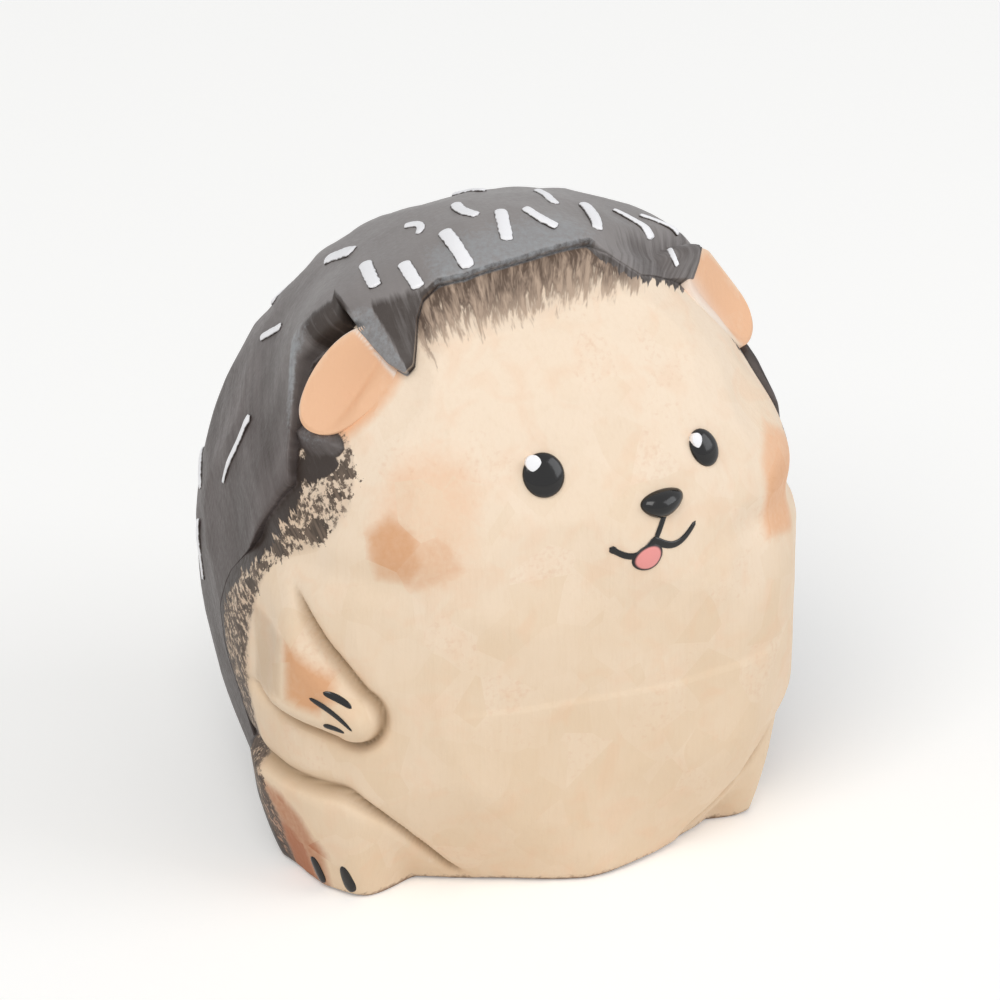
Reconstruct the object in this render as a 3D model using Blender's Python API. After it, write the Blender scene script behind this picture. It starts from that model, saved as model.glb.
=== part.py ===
"""Carved and painted wooden hedgehog figurine, built as named solids.

The animal sits upright on its flat base and faces -Y. Its own left side is +X, and +Z is up.
The origin is the middle of the base. Everything is in metres.

One block of wood is carved in the round: the hull is a rounded block whose radius is a closed
formula, trimmed by flat knife cuts, with the arms, feet, belly and muzzle raised or sunk along its
normals. The dark coat, the ears and the painted features are thin solids laid on that same formula.
"""
import math

import bmesh
import bpy
import numpy as np
from mathutils import Matrix

# Overall form of the block
HEIGHT = 0.0455            # base to crown, under the coat's raised lip
WAIST_HEIGHT = 0.0195      # level at which the figure is widest
HALF_WIDTH = 0.0204        # side reach at the waist
FRONT_DEPTH = 0.0172       # reach of the chest from the waist's middle
BACK_DEPTH = 0.0204        # reach of the back from the waist's middle
PLAN_ROUNDNESS = 2.8       # 2 is an ellipse seen from above, more is squarer
CROWN_ROUNDNESS = 1.9      # the same for the outline above the waist
HIP_ROUNDNESS = 2.3        # the same below the waist
FRONT_DROP = 0.042         # depth below the waist at which the front would close
BACK_DROP = 0.022          # depth below the waist at which the back would close

# Knife cuts, spread evenly over the block
KNIFE_CUTS = 64
KNIFE_DEPTH = 0.00028

# Clearance between neighbouring solids
GAP = 0.0003

# Coat of quills: a raised shell over the crown, back and sides
COAT_THICKNESS = 0.0011
COAT_TILT = 35.0           # degrees that the coat's axis rises from level, at the back
COAT_TURN = 0.5            # degrees that the fringe is turned to the animal's left
LEFT_EDGE_TURN = 10.0      # degrees that the edge down the left side stands further back
COAT_SKEW = 0.13           # how much lower the edge sits on the animal's right, per degree
LIP_RISE = 0.0007          # how far the fringe's lip stands above the block
LIP_REACH = 0.008          # how far back that swelling runs
RIGHT_WALL_RISE = 0.0016   # extra swelling of the coat over the right ear
LEFT_WALL_RISE = 0.0021    # the same over the left ear
WALL_TURN = 36.0           # degrees from the fringe's middle to that swelling
WALL_WIDTH = 10.0          # degrees over which it fades
FLOOR_CLEARANCE = 0.0013   # height of the coat's edge above the base at the back
# The coat's edge: degrees round its axis from the crown line, and reach in degrees from the axis
COAT_EDGE = (
    (0, 68.0), (14, 68), (18, 68.5), (20.5, 73), (23.5, 80), (25.5, 78), (29, 70), (32, 66), (44, 66),
    (50, 78), (54, 88), (60, 90), (74, 91), (86, 89), (99, 90), (107, 97), (111, 107), (115, 116),
    (122, 119), (180, 124),
)

# Ears: wedges that rise from the face to their rear rim
EARS_MIDDLE = 3.3          # degrees round the coat's axis to the line midway between the ears
EAR_ROUND = 38.7           # degrees round it from that line
EAR_REACH = 75.2           # degrees from the coat's axis
EAR_SKEW = 4.0             # how much lower the right ear sits, and higher the left one
EAR_HALF_WIDTH = 0.0023
EAR_HALF_HEIGHT = 0.0043
LEFT_EAR_RISE = 0.0042
RIGHT_EAR_RISE = 0.0020
EAR_RIM = 0.0004
EAR_SEAT = 0.0009          # how deep an ear sits in the block
EAR_DISH = 0.0010          # how much the ear's face is hollowed
EAR_FORE_SLOPE = 0.25      # how much more the rim rises at the bottom than at the top
EAR_TURN = 18.0            # degrees that the ear leans back

# Face, turned a little to the animal's left
FACE_AZIMUTH = 14.2
EYE_SPREAD = 22.0          # degrees from the face's middle line to each eye
EYE_HEIGHT = 0.0318
EYE_RADIUS = 0.0015
EYE_THICKNESS = 0.0004
GLINT_RADIUS = 0.00052
GLINT_SHIFT = 0.00068
GLINT_RISE = 0.00075
GLINT_THICKNESS = 0.0003
MUZZLE_AZIMUTH = 18.0
MUZZLE_HEIGHT = 0.0275
MUZZLE_RADIUS = 0.0066
MUZZLE_RISE = 0.0009
NOSE_AZIMUTH = 20.5
NOSE_HEIGHT = 0.0291
NOSE_HALF_WIDTH = 0.0016
NOSE_HALF_HEIGHT = 0.0009
NOSE_THICKNESS = 0.0008
NOSE_TAPER = 0.28
MOUTH_AZIMUTH = 16.5
MOUTH_HEIGHT = 0.0268
MOUTH_HALF_WIDTH = 0.0031
MOUTH_SAG = 0.0008
MOUTH_LINE_RADIUS = 0.00018
TONGUE_AZIMUTH = 14.8
TONGUE_HEIGHT = 0.0250
TONGUE_HALF_WIDTH = 0.0009
TONGUE_HALF_HEIGHT = 0.0008
TONGUE_THICKNESS = 0.0004
CHEEK_SPREAD = 48.0
CHEEK_HEIGHT = 0.0290
CHEEK_RADIUS = 0.0068
CHEEK_RISE = 0.0006
NECK_HEIGHT = 0.0252
NECK_DEPTH = 0.0005
NECK_WIDTH = 0.0016

# Arms, raised from the sides and spread evenly about a line turned to the animal's left
LIMB_MIDDLE = 19.0
SHOULDER_SPREAD = 92.5
SHOULDER_HEIGHT = 0.0190
HAND_SPREAD = 67.3
HAND_HEIGHT = 0.0143
SHOULDER_RADIUS = 0.0056
HAND_RADIUS = 0.0026
RIGHT_ARM_RISE = 0.0014
LEFT_ARM_RISE = 0.0004
GROOVE_DEPTH = 0.0009
GROOVE_WIDTH = 0.0013
PAW_CLAW_WIDTH = 0.00032
PAW_CLAW_BACK = 0.0013     # how far the claws' middle lies behind the hand's
PAW_CLAW_UP = 0.0011       # how far it lies above
# Each paw claw: forward and up from their middle, length, and degrees that it slopes down
PAW_CLAWS = (
    (0.0001, -0.0014, 0.0014, 18), (-0.0001, -0.0003, 0.0034, 34), (0.0004, 0.0009, 0.0021, 43),
)

# Legs, under a groove that rises from the base at the front
LEG_MIDDLE = 4.0           # degrees from the front to the line midway between the legs
LEG_TOP = 0.0086           # height of the groove at the side
LEG_START = 29.0           # degrees from that line where the groove leaves the base
LEG_SWEEP = 28.0           # degrees over which it climbs
RIGHT_LEG_RISE = 0.0009
LEFT_LEG_RISE = -0.0006    # the left leg lies a little in
LEG_EDGE = 0.0016          # height over which the leg's rise fades at its groove
LEG_FULL = 56.0            # degrees from the line where the foot stands out fully
LEG_END = 100.0            # and where the haunch has faded out
BELLY_UNDERCUT = 0.0028    # how far the belly draws in between the feet
BELLY_UNDERCUT_HEIGHT = 0.0095
FOOT_CLAW_MIDDLE = 10.0
FOOT_CLAW_SPREADS = (62.0, 69.0)
FOOT_CLAW_HEIGHT = 0.0018
FOOT_CLAW_LENGTH = 0.0021
FOOT_CLAW_WIDTH = 0.0007
FOOT_CLAW_LEAN = 12.0
CLAW_THICKNESS = 0.0003

# White quill strokes on the coat
STROKE_THICKNESS = 0.00025
STROKE_WIDTH = 0.0007
# The strokes round the fringe and down the right side: degrees round the coat's axis, degrees
# from the axis, length, and degrees that the stroke leans from pointing straight at the edge
FRONT_STROKES = (
    (-33, 51, 0.0030, 62), (-53, 56, 0.0028, 77), (-26, 62, 0.0028, 8), (-20, 64, 0.0026, 7),
    (-17, 55, 0.0021, 26), (-11, 62, 0.0042, 5), (-7, 53, 0.0026, 27), (-2, 60, 0.0031, -8),
    (5, 57, 0.0029, 40), (10, 48, 0.0022, 34), (16, 56, 0.0040, -9), (26, 54, 0.0036, 3),
    (33, 58, 0.0028, -20), (-70, 71, 0.0054, 107), (-98, 80, 0.0060, -29),
)
# The rows behind: degrees from the axis, first and last degrees round it, and number of strokes
REAR_ROWS = ((16, 30, 330, 4), (38, 60, 300, 6), (60, 50, 265, 8))
REAR_STROKE_LENGTH = 0.0034

# Fineness of the meshes
BODY_SEGMENTS = 90
BODY_RINGS = 44
FRONT_CROWDING = 0.25                # how much closer the body's columns stand at the front
RING_STATIONS = (-90, -84, 70, 90)   # elevations of the ball's rings, and where they are moved
RING_ELEVATIONS = (-90, -58, 61, 90)
COAT_SEGMENTS = 100
COAT_RINGS = 10
FRINGE_CROWDING = 0.65               # how much closer the coat's columns stand at the fringe
EAR_STEP = math.radians(0.7)         # turn within which the coat's edge keeps clear of an ear
EAR_SEGMENTS = 24
EAR_RINGS = 5
NORMAL_STEP = 0.004                  # radians between the points that give a normal

CENTRE = np.array([0.0, 0.0, WAIST_HEIGHT])
OVERSHOOT = 0.0015                   # how far a cutter stands out of what it cuts

COLOURS = {                          # sRGB colour, roughness
    "bare_face": ("F0D5BB", 0.62),
    "dark_coat": ("5E5452", 0.60),
    "ear_peach": ("F0BFA3", 0.62),
    "black_gloss": ("17130F", 0.18),
    "white_paint": ("F3F1F0", 0.50),
    "tongue_pink": ("EFA09B", 0.50),
}


def ease(t):
    """Smooth step from 0 to 1."""
    t = np.clip(t, 0.0, 1.0)
    return t * t * (3.0 - 2.0 * t)


def towards(azimuth, elevation):
    """Unit directions; azimuth 0 is the front and grows to the animal's left, in radians."""
    flat = np.cos(elevation)
    return np.stack([np.sin(azimuth) * flat, -np.cos(azimuth) * flat, np.sin(elevation)], -1)


def azimuth_of(way):
    return np.arctan2(way[..., 0], -way[..., 1])


def rounded_block(way):
    """Radius of the uncut block: a superellipse in plan, swept into another one upright."""
    x, y, z = way[..., 0], way[..., 1], way[..., 2]
    depth = np.where(y < 0, FRONT_DEPTH, BACK_DEPTH)
    plan = np.abs(x / HALF_WIDTH) ** PLAN_ROUNDNESS + np.abs(y / depth) ** PLAN_ROUNDNESS
    rear = 0.5 + 0.5 * np.tanh(2.0 * y + 0.35)
    below = FRONT_DROP * (1.0 - rear) + BACK_DROP * rear
    rise = np.where(z > 0, HEIGHT - WAIST_HEIGHT, below)
    power = np.where(z > 0, CROWN_ROUNDNESS, HIP_ROUNDNESS)
    return (plan ** (power / PLAN_ROUNDNESS) + np.abs(z / rise) ** power) ** (-1.0 / power)


def tangents(way):
    """Two unit directions across each way: to the animal's left at the front, and up."""
    side = np.cross(np.array([0.0, 0.0, 1.0]), way)
    length = np.linalg.norm(side, axis=-1, keepdims=True)
    side = np.where(length > 1e-4, side / np.maximum(length, 1e-9), np.array([1.0, 0.0, 0.0]))
    return side, np.cross(way, side)


def normals(radius, way):
    """Outward unit normals of the surface that a radius function describes."""
    side, up = tangents(way)

    def at(shifted):
        shifted = shifted / np.linalg.norm(shifted, axis=-1, keepdims=True)
        return shifted * radius(shifted)[..., None]

    across = at(way + NORMAL_STEP * side) - at(way - NORMAL_STEP * side)
    along = at(way + NORMAL_STEP * up) - at(way - NORMAL_STEP * up)
    normal = np.cross(across, along)
    return normal / np.linalg.norm(normal, axis=-1, keepdims=True)


def knife_planes():
    """Flat cuts at even spacing: a spiral of turns by the golden angle, each a fixed depth in."""
    number = np.arange(KNIFE_CUTS) + 0.5
    height = 1.0 - 2.0 * number / KNIFE_CUTS
    turn = number * math.pi * (3.0 - math.sqrt(5.0))
    way = towards(turn, np.arcsin(height))
    normal = normals(rounded_block, way)
    distance = np.sum(normal * way, -1) * rounded_block(way) - KNIFE_DEPTH
    return normal, distance


CUT_NORMALS, CUT_DISTANCES = knife_planes()


def hull_radius(way):
    """The block with its knife cuts."""
    facing = way @ CUT_NORMALS.T
    flats = np.where(facing > 0.2, CUT_DISTANCES / np.maximum(facing, 0.2), 1.0)
    return np.minimum(rounded_block(way), flats.min(-1))


def raised(way, height):
    """Points of the hull, moved out along the uncut block's normals."""
    normal = normals(rounded_block, way)
    return CENTRE + way * hull_radius(way)[..., None] + normal * height[..., None]


def spot(azimuth_degrees, height):
    """The way from the centre to the hull's point at an azimuth and a height above the base."""
    azimuth = np.radians(azimuth_degrees)
    low, high = -1.3, 1.5
    for _ in range(40):
        middle = (low + high) / 2
        way = towards(azimuth, middle)
        if WAIST_HEIGHT + way[2] * hull_radius(way[None])[0] < height:
            low = middle
        else:
            high = middle
    return towards(azimuth, (low + high) / 2)


def hull_point(way):
    return CENTRE + way * hull_radius(way)[..., None]


def across_hull(centre_way, right, up, turn_degrees=0.0):
    """Ways to points laid out flat round a spot, in metres to the right and up."""
    turn = np.radians(turn_degrees)
    side, rise = tangents(centre_way)
    reach = hull_radius(centre_way[None])[0]
    a = right * np.cos(turn) - up * np.sin(turn)
    b = right * np.sin(turn) + up * np.cos(turn)
    way = centre_way * reach + a[..., None] * side + b[..., None] * rise
    return way / np.linalg.norm(way, axis=-1, keepdims=True)


MIDDLE = {side: {
    "hand": hull_point(spot(LIMB_MIDDLE + side * HAND_SPREAD, HAND_HEIGHT)),
    "shoulder": hull_point(spot(LIMB_MIDDLE + side * SHOULDER_SPREAD, SHOULDER_HEIGHT)),
    "cheek": hull_point(spot(FACE_AZIMUTH + side * CHEEK_SPREAD, CHEEK_HEIGHT)),
} for side in (-1, 1)}
MUZZLE = hull_point(spot(MUZZLE_AZIMUTH, MUZZLE_HEIGHT))


def swelling(points, middle, radius, rise):
    """A soft round bump."""
    distance = np.linalg.norm(points - middle, axis=-1)
    return rise * ease(1.0 - distance / radius)


def groove(distance, width, depth):
    return -depth * np.exp(-(distance / width) ** 2)


def arm_relief(points, side):
    """A tapering limb from shoulder to hand, raised inside and grooved along its edge."""
    start, end = MIDDLE[side]["shoulder"], MIDDLE[side]["hand"]
    axis = end - start
    along = np.clip((points - start) @ axis / (axis @ axis), 0.0, 1.0)
    radius = SHOULDER_RADIUS + (HAND_RADIUS - SHOULDER_RADIUS) * along
    outside = np.linalg.norm(points - start - along[..., None] * axis, axis=-1) - radius
    near_hand = ease(along * 1.6)
    rise = LEFT_ARM_RISE if side > 0 else RIGHT_ARM_RISE
    pad = rise * near_hand * ease(-outside / HAND_RADIUS + 0.15)
    return pad + groove(outside, GROOVE_WIDTH, GROOVE_DEPTH) * ease(along * 3.0)


def leg_line(turn):
    """Height of the groove over the leg, by degrees from the line midway between the legs."""
    return LEG_TOP * ease((turn - LEG_START) / LEG_SWEEP)


def leg_relief(points, azimuth):
    """The legs stand out below their groove, and the block draws in between the feet."""
    turn = np.abs(np.degrees(azimuth) - LEG_MIDDLE)
    above = points[..., 2] - leg_line(turn)
    front = ease((LEG_END - turn) / 22.0)
    rise = np.where(azimuth < 0, RIGHT_LEG_RISE, LEFT_LEG_RISE)
    leg = rise * ease(0.5 - above / LEG_EDGE) * ease((turn - LEG_FULL) / 10.0 + 1.0)
    bottom = np.clip(1.0 - points[..., 2] / BELLY_UNDERCUT_HEIGHT, 0.0, 1.0) ** 1.5
    drawn_in = ease((turn + 4.0) / 46.0) * ease((LEG_FULL - 2.0 - turn) / 10.0)
    crease = groove(above, GROOVE_WIDTH, GROOVE_DEPTH) * ease((turn - LEG_START) / 6.0)
    return (leg + crease) * front - BELLY_UNDERCUT * bottom * drawn_in


def body_height(way):
    """How far the finished body stands out of the hull, or in, at each way."""
    points = hull_point(way)
    azimuth = azimuth_of(way)
    height = swelling(points, MUZZLE, MUZZLE_RADIUS, MUZZLE_RISE)
    for side in (-1, 1):
        height = height + swelling(points, MIDDLE[side]["cheek"], CHEEK_RADIUS, CHEEK_RISE)
        height = height + arm_relief(points, side)
    sideways = ease((np.abs(np.degrees(azimuth)) - 20.0) / 35.0)
    neck = groove(points[..., 2] - NECK_HEIGHT, NECK_WIDTH, NECK_DEPTH)
    return height + neck * sideways + leg_relief(points, azimuth)


COAT_AXIS = towards(math.pi, math.radians(COAT_TILT))
COAT_FORWARD = towards(0.0, math.radians(90.0 - COAT_TILT))
COAT_LEFT = np.array([1.0, 0.0, 0.0])


def coat_way(turn, reach):
    """The way at a turn round the coat's axis and an angle from it."""
    return (np.cos(reach)[..., None] * COAT_AXIS
            + (np.sin(reach) * np.cos(turn))[..., None] * COAT_FORWARD
            + (np.sin(reach) * np.sin(turn))[..., None] * COAT_LEFT)


def ear_way(side, right, up):
    """Ways to points laid out flat round an ear's middle, turned with the ear."""
    centre_way = coat_way(np.radians(EARS_MIDDLE + side * EAR_ROUND),
                          np.radians(EAR_REACH - side * EAR_SKEW))
    return across_hull(centre_way, right, up, side * EAR_TURN)


def around_axis(way):
    """Turn round the coat's axis and angle from it."""
    turn = np.arctan2(way @ COAT_LEFT, way @ COAT_FORWARD)
    return turn, np.arccos(np.clip(way @ COAT_AXIS, -1.0, 1.0))


def ear_outlines():
    """Both ears' outlines, with room round them, as turns and angles from the coat's axis."""
    t = np.linspace(0.0, 2 * math.pi, 97)
    room = 1.2 * GAP
    ways = [ear_way(side, np.cos(t) * (EAR_HALF_WIDTH + room), np.sin(t) * (EAR_HALF_HEIGHT + room))
            for side in (-1, 1)]
    return around_axis(np.concatenate(ways))


EAR_TURNS, EAR_REACHES = ear_outlines()


def floor_reaches(turns):
    """Angle from the coat's axis at which the hull comes down to the floor clearance."""
    low, high = np.full(len(turns), math.radians(60.0)), np.full(len(turns), math.radians(125.0))
    for _ in range(24):
        middle = (low + high) / 2
        above = hull_point(coat_way(turns, middle))[:, 2] > FLOOR_CLEARANCE
        low, high = np.where(above, middle, low), np.where(above, high, middle)
    return low


FLOOR_TURNS = np.radians(np.linspace(-180.0, 180.0, 181))
FLOOR_REACHES = floor_reaches(FLOOR_TURNS)


def coat_reach(turn):
    """Angle from the coat's axis to its edge, for turns round that axis, in radians."""
    degrees = np.degrees((turn + math.pi) % (2 * math.pi) - math.pi)
    fade = ease((110.0 - np.abs(degrees)) / 60.0)
    shifted = degrees - COAT_TURN * fade - LEFT_EDGE_TURN * (1.0 - fade) * (degrees > 0)
    stations = np.array(COAT_EDGE, float)
    reach = np.interp(np.abs(shifted), stations[:, 0], stations[:, 1])
    skew = COAT_SKEW * np.clip(shifted, -25.0, 25.0) * ease((60.0 - np.abs(shifted)) / 12.0)
    reach = reach - skew
    floor = np.interp(np.radians(degrees), FLOOR_TURNS, FLOOR_REACHES)
    beside = np.abs(np.radians(degrees)[..., None] - EAR_TURNS) < EAR_STEP
    ears = np.where(beside, EAR_REACHES, math.pi).min(-1)
    return np.minimum(np.minimum(np.radians(reach), floor), ears)


def grown_reach(turn, grow):
    """The coat's edge moved out all along, sideways too."""
    aside = grow / HALF_WIDTH
    return np.max([coat_reach(turn + shift) for shift in (-aside, 0.0, aside)], 0) + aside


def coat_height(way):
    """How far the coat's outer face stands above the hull: a lip at the fringe, more at the ears."""
    turn, reach = around_axis(way)
    inside = (coat_reach(turn) - reach) * HALF_WIDTH
    degrees = np.abs(np.degrees(turn))
    crown = ease((78.0 - degrees) / 26.0)
    wall = np.where(turn > 0, LEFT_WALL_RISE, RIGHT_WALL_RISE)
    ears = wall * np.exp(-((degrees - WALL_TURN) / WALL_WIDTH) ** 2)
    return (LIP_RISE * crown + ears) * ease(1.0 - inside / LIP_REACH)


def new_collection(name):
    collection = bpy.data.collections.new(name)
    bpy.context.scene.collection.children.link(collection)
    return collection


def clear_scene():
    for thing in list(bpy.data.objects):
        bpy.data.objects.remove(thing, do_unlink=True)
    for collection in list(bpy.data.collections):
        bpy.data.collections.remove(collection)


def linear(hex_colour):
    values = np.array([int(hex_colour[i:i + 2], 16) / 255 for i in (0, 2, 4)])
    return np.where(values <= 0.04045, values / 12.92, ((values + 0.055) / 1.055) ** 2.4)


def paint(name):
    material = bpy.data.materials.get(name)
    if material is None:
        material = bpy.data.materials.new(name)
        material.use_nodes = True
        shader = material.node_tree.nodes["Principled BSDF"]
        colour, roughness = COLOURS[name]
        shader.inputs["Base Color"].default_value = (*linear(colour), 1.0)
        shader.inputs["Roughness"].default_value = roughness
        shader.inputs["Metallic"].default_value = 0.0
    return material


def sphere_mesh(segments, rings):
    shape = bmesh.new()
    bmesh.ops.create_uvsphere(shape, u_segments=segments, v_segments=rings, radius=1.0)
    return shape


def bar_mesh(steps):
    """A box from -1 to 1, divided along X so that it can follow a curved surface."""
    shape = bmesh.new()
    bmesh.ops.create_cube(shape, size=2.0)
    along = [edge for edge in shape.edges if abs(edge.verts[0].co.x - edge.verts[1].co.x) > 1.0]
    bmesh.ops.subdivide_edges(shape, edges=along, cuts=steps - 1, use_grid_fill=False)
    return shape


def coordinates(shape):
    return np.array([vertex.co[:] for vertex in shape.verts])


def move_vertices(shape, points):
    for vertex, point in zip(shape.verts, points):
        vertex.co = point


def add_object(name, shape, collection, colour=None):
    mesh = bpy.data.meshes.new(name)
    shape.normal_update()
    shape.to_mesh(mesh)
    shape.free()
    thing = bpy.data.objects.new(name, mesh)
    collection.objects.link(thing)
    mesh.shade_smooth()
    if colour:
        mesh.materials.append(paint(colour))
    else:
        thing.hide_render = True
        thing.display_type = "WIRE"
    return thing


def cut(target, cutter):
    modifier = target.modifiers.new("cut_" + cutter.name, "BOOLEAN")
    modifier.operation = "DIFFERENCE"
    modifier.solver = "EXACT"
    modifier.object = cutter


def lens(centre_way, right, up, thickness, carrier, segments=20, rings=8, turn=0.0, taper=0.0,
         lift=GAP):
    """A flattened ball laid on its carrier: its underside is one gap clear of the surface."""
    shape = sphere_mesh(segments, rings)
    ball = coordinates(shape)
    wide = ball[:, 0] * right * (1.0 + taper * ball[:, 1])
    way = across_hull(centre_way, wide, ball[:, 1] * up, turn)
    height = carrier(way) + lift + thickness * (ball[:, 2] + 1.0) / 2
    move_vertices(shape, raised(way, height))
    return shape


def bar(centre_way, length, width, thickness, carrier, turn, steps=3, lift=GAP):
    """A thin strip laid on its carrier, narrower towards its far end."""
    shape = bar_mesh(steps)
    box = coordinates(shape)
    narrow = 1.0 - 0.25 * (box[:, 0] + 1.0) / 2
    way = across_hull(centre_way, box[:, 0] * length / 2, box[:, 1] * narrow * width / 2, turn)
    height = carrier(way) + lift + thickness * (box[:, 2] + 1.0) / 2
    move_vertices(shape, raised(way, height))
    return shape


def coat_solid(grow, above, below):
    """A flattened ball over the coat's area, its edge moved out by grow.

    The ball's upper half becomes the outer face, its lower half the inner face, and its widest
    ring the rim half way between them.
    """
    shape = sphere_mesh(COAT_SEGMENTS, COAT_RINGS * 2)
    ball = coordinates(shape)
    turn = np.arctan2(ball[:, 1], ball[:, 0])
    turn = turn - FRINGE_CROWDING * np.sin(turn)
    share = np.hypot(ball[:, 0], ball[:, 1])
    way = coat_way(turn, share * grown_reach(turn, grow))
    face = np.clip(ball[:, 2] * COAT_RINGS, -1.0, 1.0)
    height = coat_height(way) + (above - below) / 2 + face * (above + below) / 2
    move_vertices(shape, raised(way, height))
    return shape


def build_coat(parts, cutters):
    add_object("quill_mantle", coat_solid(0.0, 0.0, COAT_THICKNESS), parts, "dark_coat")
    return add_object("mantle_rebate", coat_solid(1.2 * GAP, OVERSHOOT, COAT_THICKNESS + GAP),
                      cutters)


def ear_shape(side, grow, lift):
    """A wedge that is low at the face and highest at its rear rim.

    With grow and lift it is the pocket that the wedge sits in, open to the outside.
    """
    shape = sphere_mesh(EAR_SEGMENTS, EAR_RINGS * 2)
    ball = coordinates(shape)
    way = ear_way(side, ball[:, 0] * (EAR_HALF_WIDTH + grow), ball[:, 1] * (EAR_HALF_HEIGHT + grow))
    rise = LEFT_EAR_RISE if side > 0 else RIGHT_EAR_RISE
    rearward = ease((1.0 + side * ball[:, 0] - EAR_FORE_SLOPE * ball[:, 1]) / 1.9)
    dish = EAR_DISH * (1.0 - ball[:, 0] ** 2 - ball[:, 1] ** 2).clip(0.0)
    top = EAR_RIM + rise * rearward - dish
    height = (top - EAR_SEAT) / 2 + ball[:, 2] * (top + EAR_SEAT) / 2
    face = np.clip(ball[:, 2] * EAR_RINGS, -1.0, 1.0)
    height = height + np.where(face > 0, lift, grow) * face
    move_vertices(shape, raised(way, height))
    return shape


def build_ears(parts, cutters):
    pockets = []
    for name, side in (("left", 1), ("right", -1)):
        add_object(name + "_ear", ear_shape(side, 0.0, 0.0), parts, "ear_peach")
        pockets.append(add_object(name + "_ear_pocket", ear_shape(side, GAP, OVERSHOOT), cutters))
    return pockets


def base_cutter(cutters):
    """A slab under the base plane."""
    shape = bmesh.new()
    bmesh.ops.create_cube(shape, size=1.0)
    reach = 3.0 * HALF_WIDTH
    box = coordinates(shape)
    move_vertices(shape, box * (reach, reach, FRONT_DROP) - (0.0, 0.0, FRONT_DROP / 2))
    return add_object("base_cut", shape, cutters)


def build_body(parts, cutters_used):
    shape = sphere_mesh(BODY_SEGMENTS, BODY_RINGS)
    ball = coordinates(shape)
    azimuth = azimuth_of(ball)
    azimuth = azimuth - FRONT_CROWDING * np.sin(azimuth)
    elevation = np.degrees(np.arcsin(np.clip(ball[:, 2], -1.0, 1.0)))
    elevation = np.radians(np.interp(elevation, RING_STATIONS, RING_ELEVATIONS))
    way = towards(azimuth, elevation)
    move_vertices(shape, raised(way, body_height(way)))
    body = add_object("carved_body", shape, parts, "bare_face")
    for cutter in cutters_used:
        cut(body, cutter)


def build_face(parts):
    for name, side in (("left", 1), ("right", -1)):
        eye = spot(FACE_AZIMUTH + side * EYE_SPREAD, EYE_HEIGHT)
        add_object(name + "_eye", lens(eye, EYE_RADIUS, EYE_RADIUS, EYE_THICKNESS, body_height),
                   parts, "black_gloss")
        glint = across_hull(eye, np.array(-GLINT_SHIFT), np.array(GLINT_RISE))
        add_object(name + "_eye_glint",
                   lens(glint, GLINT_RADIUS, GLINT_RADIUS, GLINT_THICKNESS, body_height, 12, 6,
                        lift=EYE_THICKNESS + 2 * GAP), parts, "white_paint")
    nose = spot(NOSE_AZIMUTH, NOSE_HEIGHT)
    add_object("nose", lens(nose, NOSE_HALF_WIDTH, NOSE_HALF_HEIGHT, NOSE_THICKNESS, body_height,
                            24, 10, taper=NOSE_TAPER), parts, "black_gloss")
    tongue = spot(TONGUE_AZIMUTH, TONGUE_HEIGHT)
    add_object("tongue", lens(tongue, TONGUE_HALF_WIDTH, TONGUE_HALF_HEIGHT, TONGUE_THICKNESS,
                              body_height), parts, "tongue_pink")


def add_line(parts, name, centre_way, right, up):
    """A thin painted line: a tube along points just clear of the body."""
    way = across_hull(centre_way, right, up)
    points = raised(way, body_height(way) + GAP + MOUTH_LINE_RADIUS)
    curve = bpy.data.curves.new(name, "CURVE")
    curve.dimensions = "3D"
    curve.bevel_depth = MOUTH_LINE_RADIUS
    curve.bevel_resolution = 2
    curve.use_fill_caps = True
    spline = curve.splines.new("POLY")
    spline.points.add(len(points) - 1)
    for target, point in zip(spline.points, points):
        target.co = (*point, 1.0)
    curve.materials.append(paint("black_gloss"))
    parts.objects.link(bpy.data.objects.new(name, curve))


def build_mouth(parts):
    """Two sagging strokes that meet under the nose, and the short line from the nose to them."""
    middle = spot(MOUTH_AZIMUTH, MOUTH_HEIGHT)
    share = np.linspace(-1.0, 1.0, 17)
    sag = MOUTH_SAG * (0.4 * share ** 2 - np.abs(np.sin(math.pi * share)))
    add_line(parts, "mouth_line", middle, share * MOUTH_HALF_WIDTH, sag)
    bottom = MOUTH_LINE_RADIUS + GAP
    top = NOSE_HEIGHT - MOUTH_HEIGHT - NOSE_HALF_HEIGHT - GAP
    sideways = math.radians(NOSE_AZIMUTH - MOUTH_AZIMUTH) * FRONT_DEPTH
    rise = np.linspace(bottom, top, 4)
    add_line(parts, "philtrum_line", middle, sideways * rise / (NOSE_HEIGHT - MOUTH_HEIGHT), rise)


def build_claws(parts):
    """Short dark strokes on each hand and at the front of each foot, numbered from the lowest."""
    for name, side in (("left", 1), ("right", -1)):
        hand = spot(LIMB_MIDDLE + side * HAND_SPREAD, HAND_HEIGHT)
        for number, (forward, up, length, slope) in enumerate(PAW_CLAWS):
            place = across_hull(hand, np.array(side * (PAW_CLAW_BACK - forward)),
                                np.array(PAW_CLAW_UP + up))
            turn = side * (slope + 90.0) + 90.0
            add_object(f"{name}_paw_claw_{number + 1}",
                       bar(place, length, PAW_CLAW_WIDTH, CLAW_THICKNESS, body_height, turn,
                           steps=2), parts, "black_gloss")
        for number, spread in enumerate(FOOT_CLAW_SPREADS):
            foot = spot(FOOT_CLAW_MIDDLE + side * spread, FOOT_CLAW_HEIGHT)
            add_object(f"{name}_foot_claw_{number + 1}",
                       bar(foot, FOOT_CLAW_LENGTH, FOOT_CLAW_WIDTH, CLAW_THICKNESS, body_height,
                           90.0 - side * FOOT_CLAW_LEAN, steps=2), parts, "black_gloss")


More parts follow.
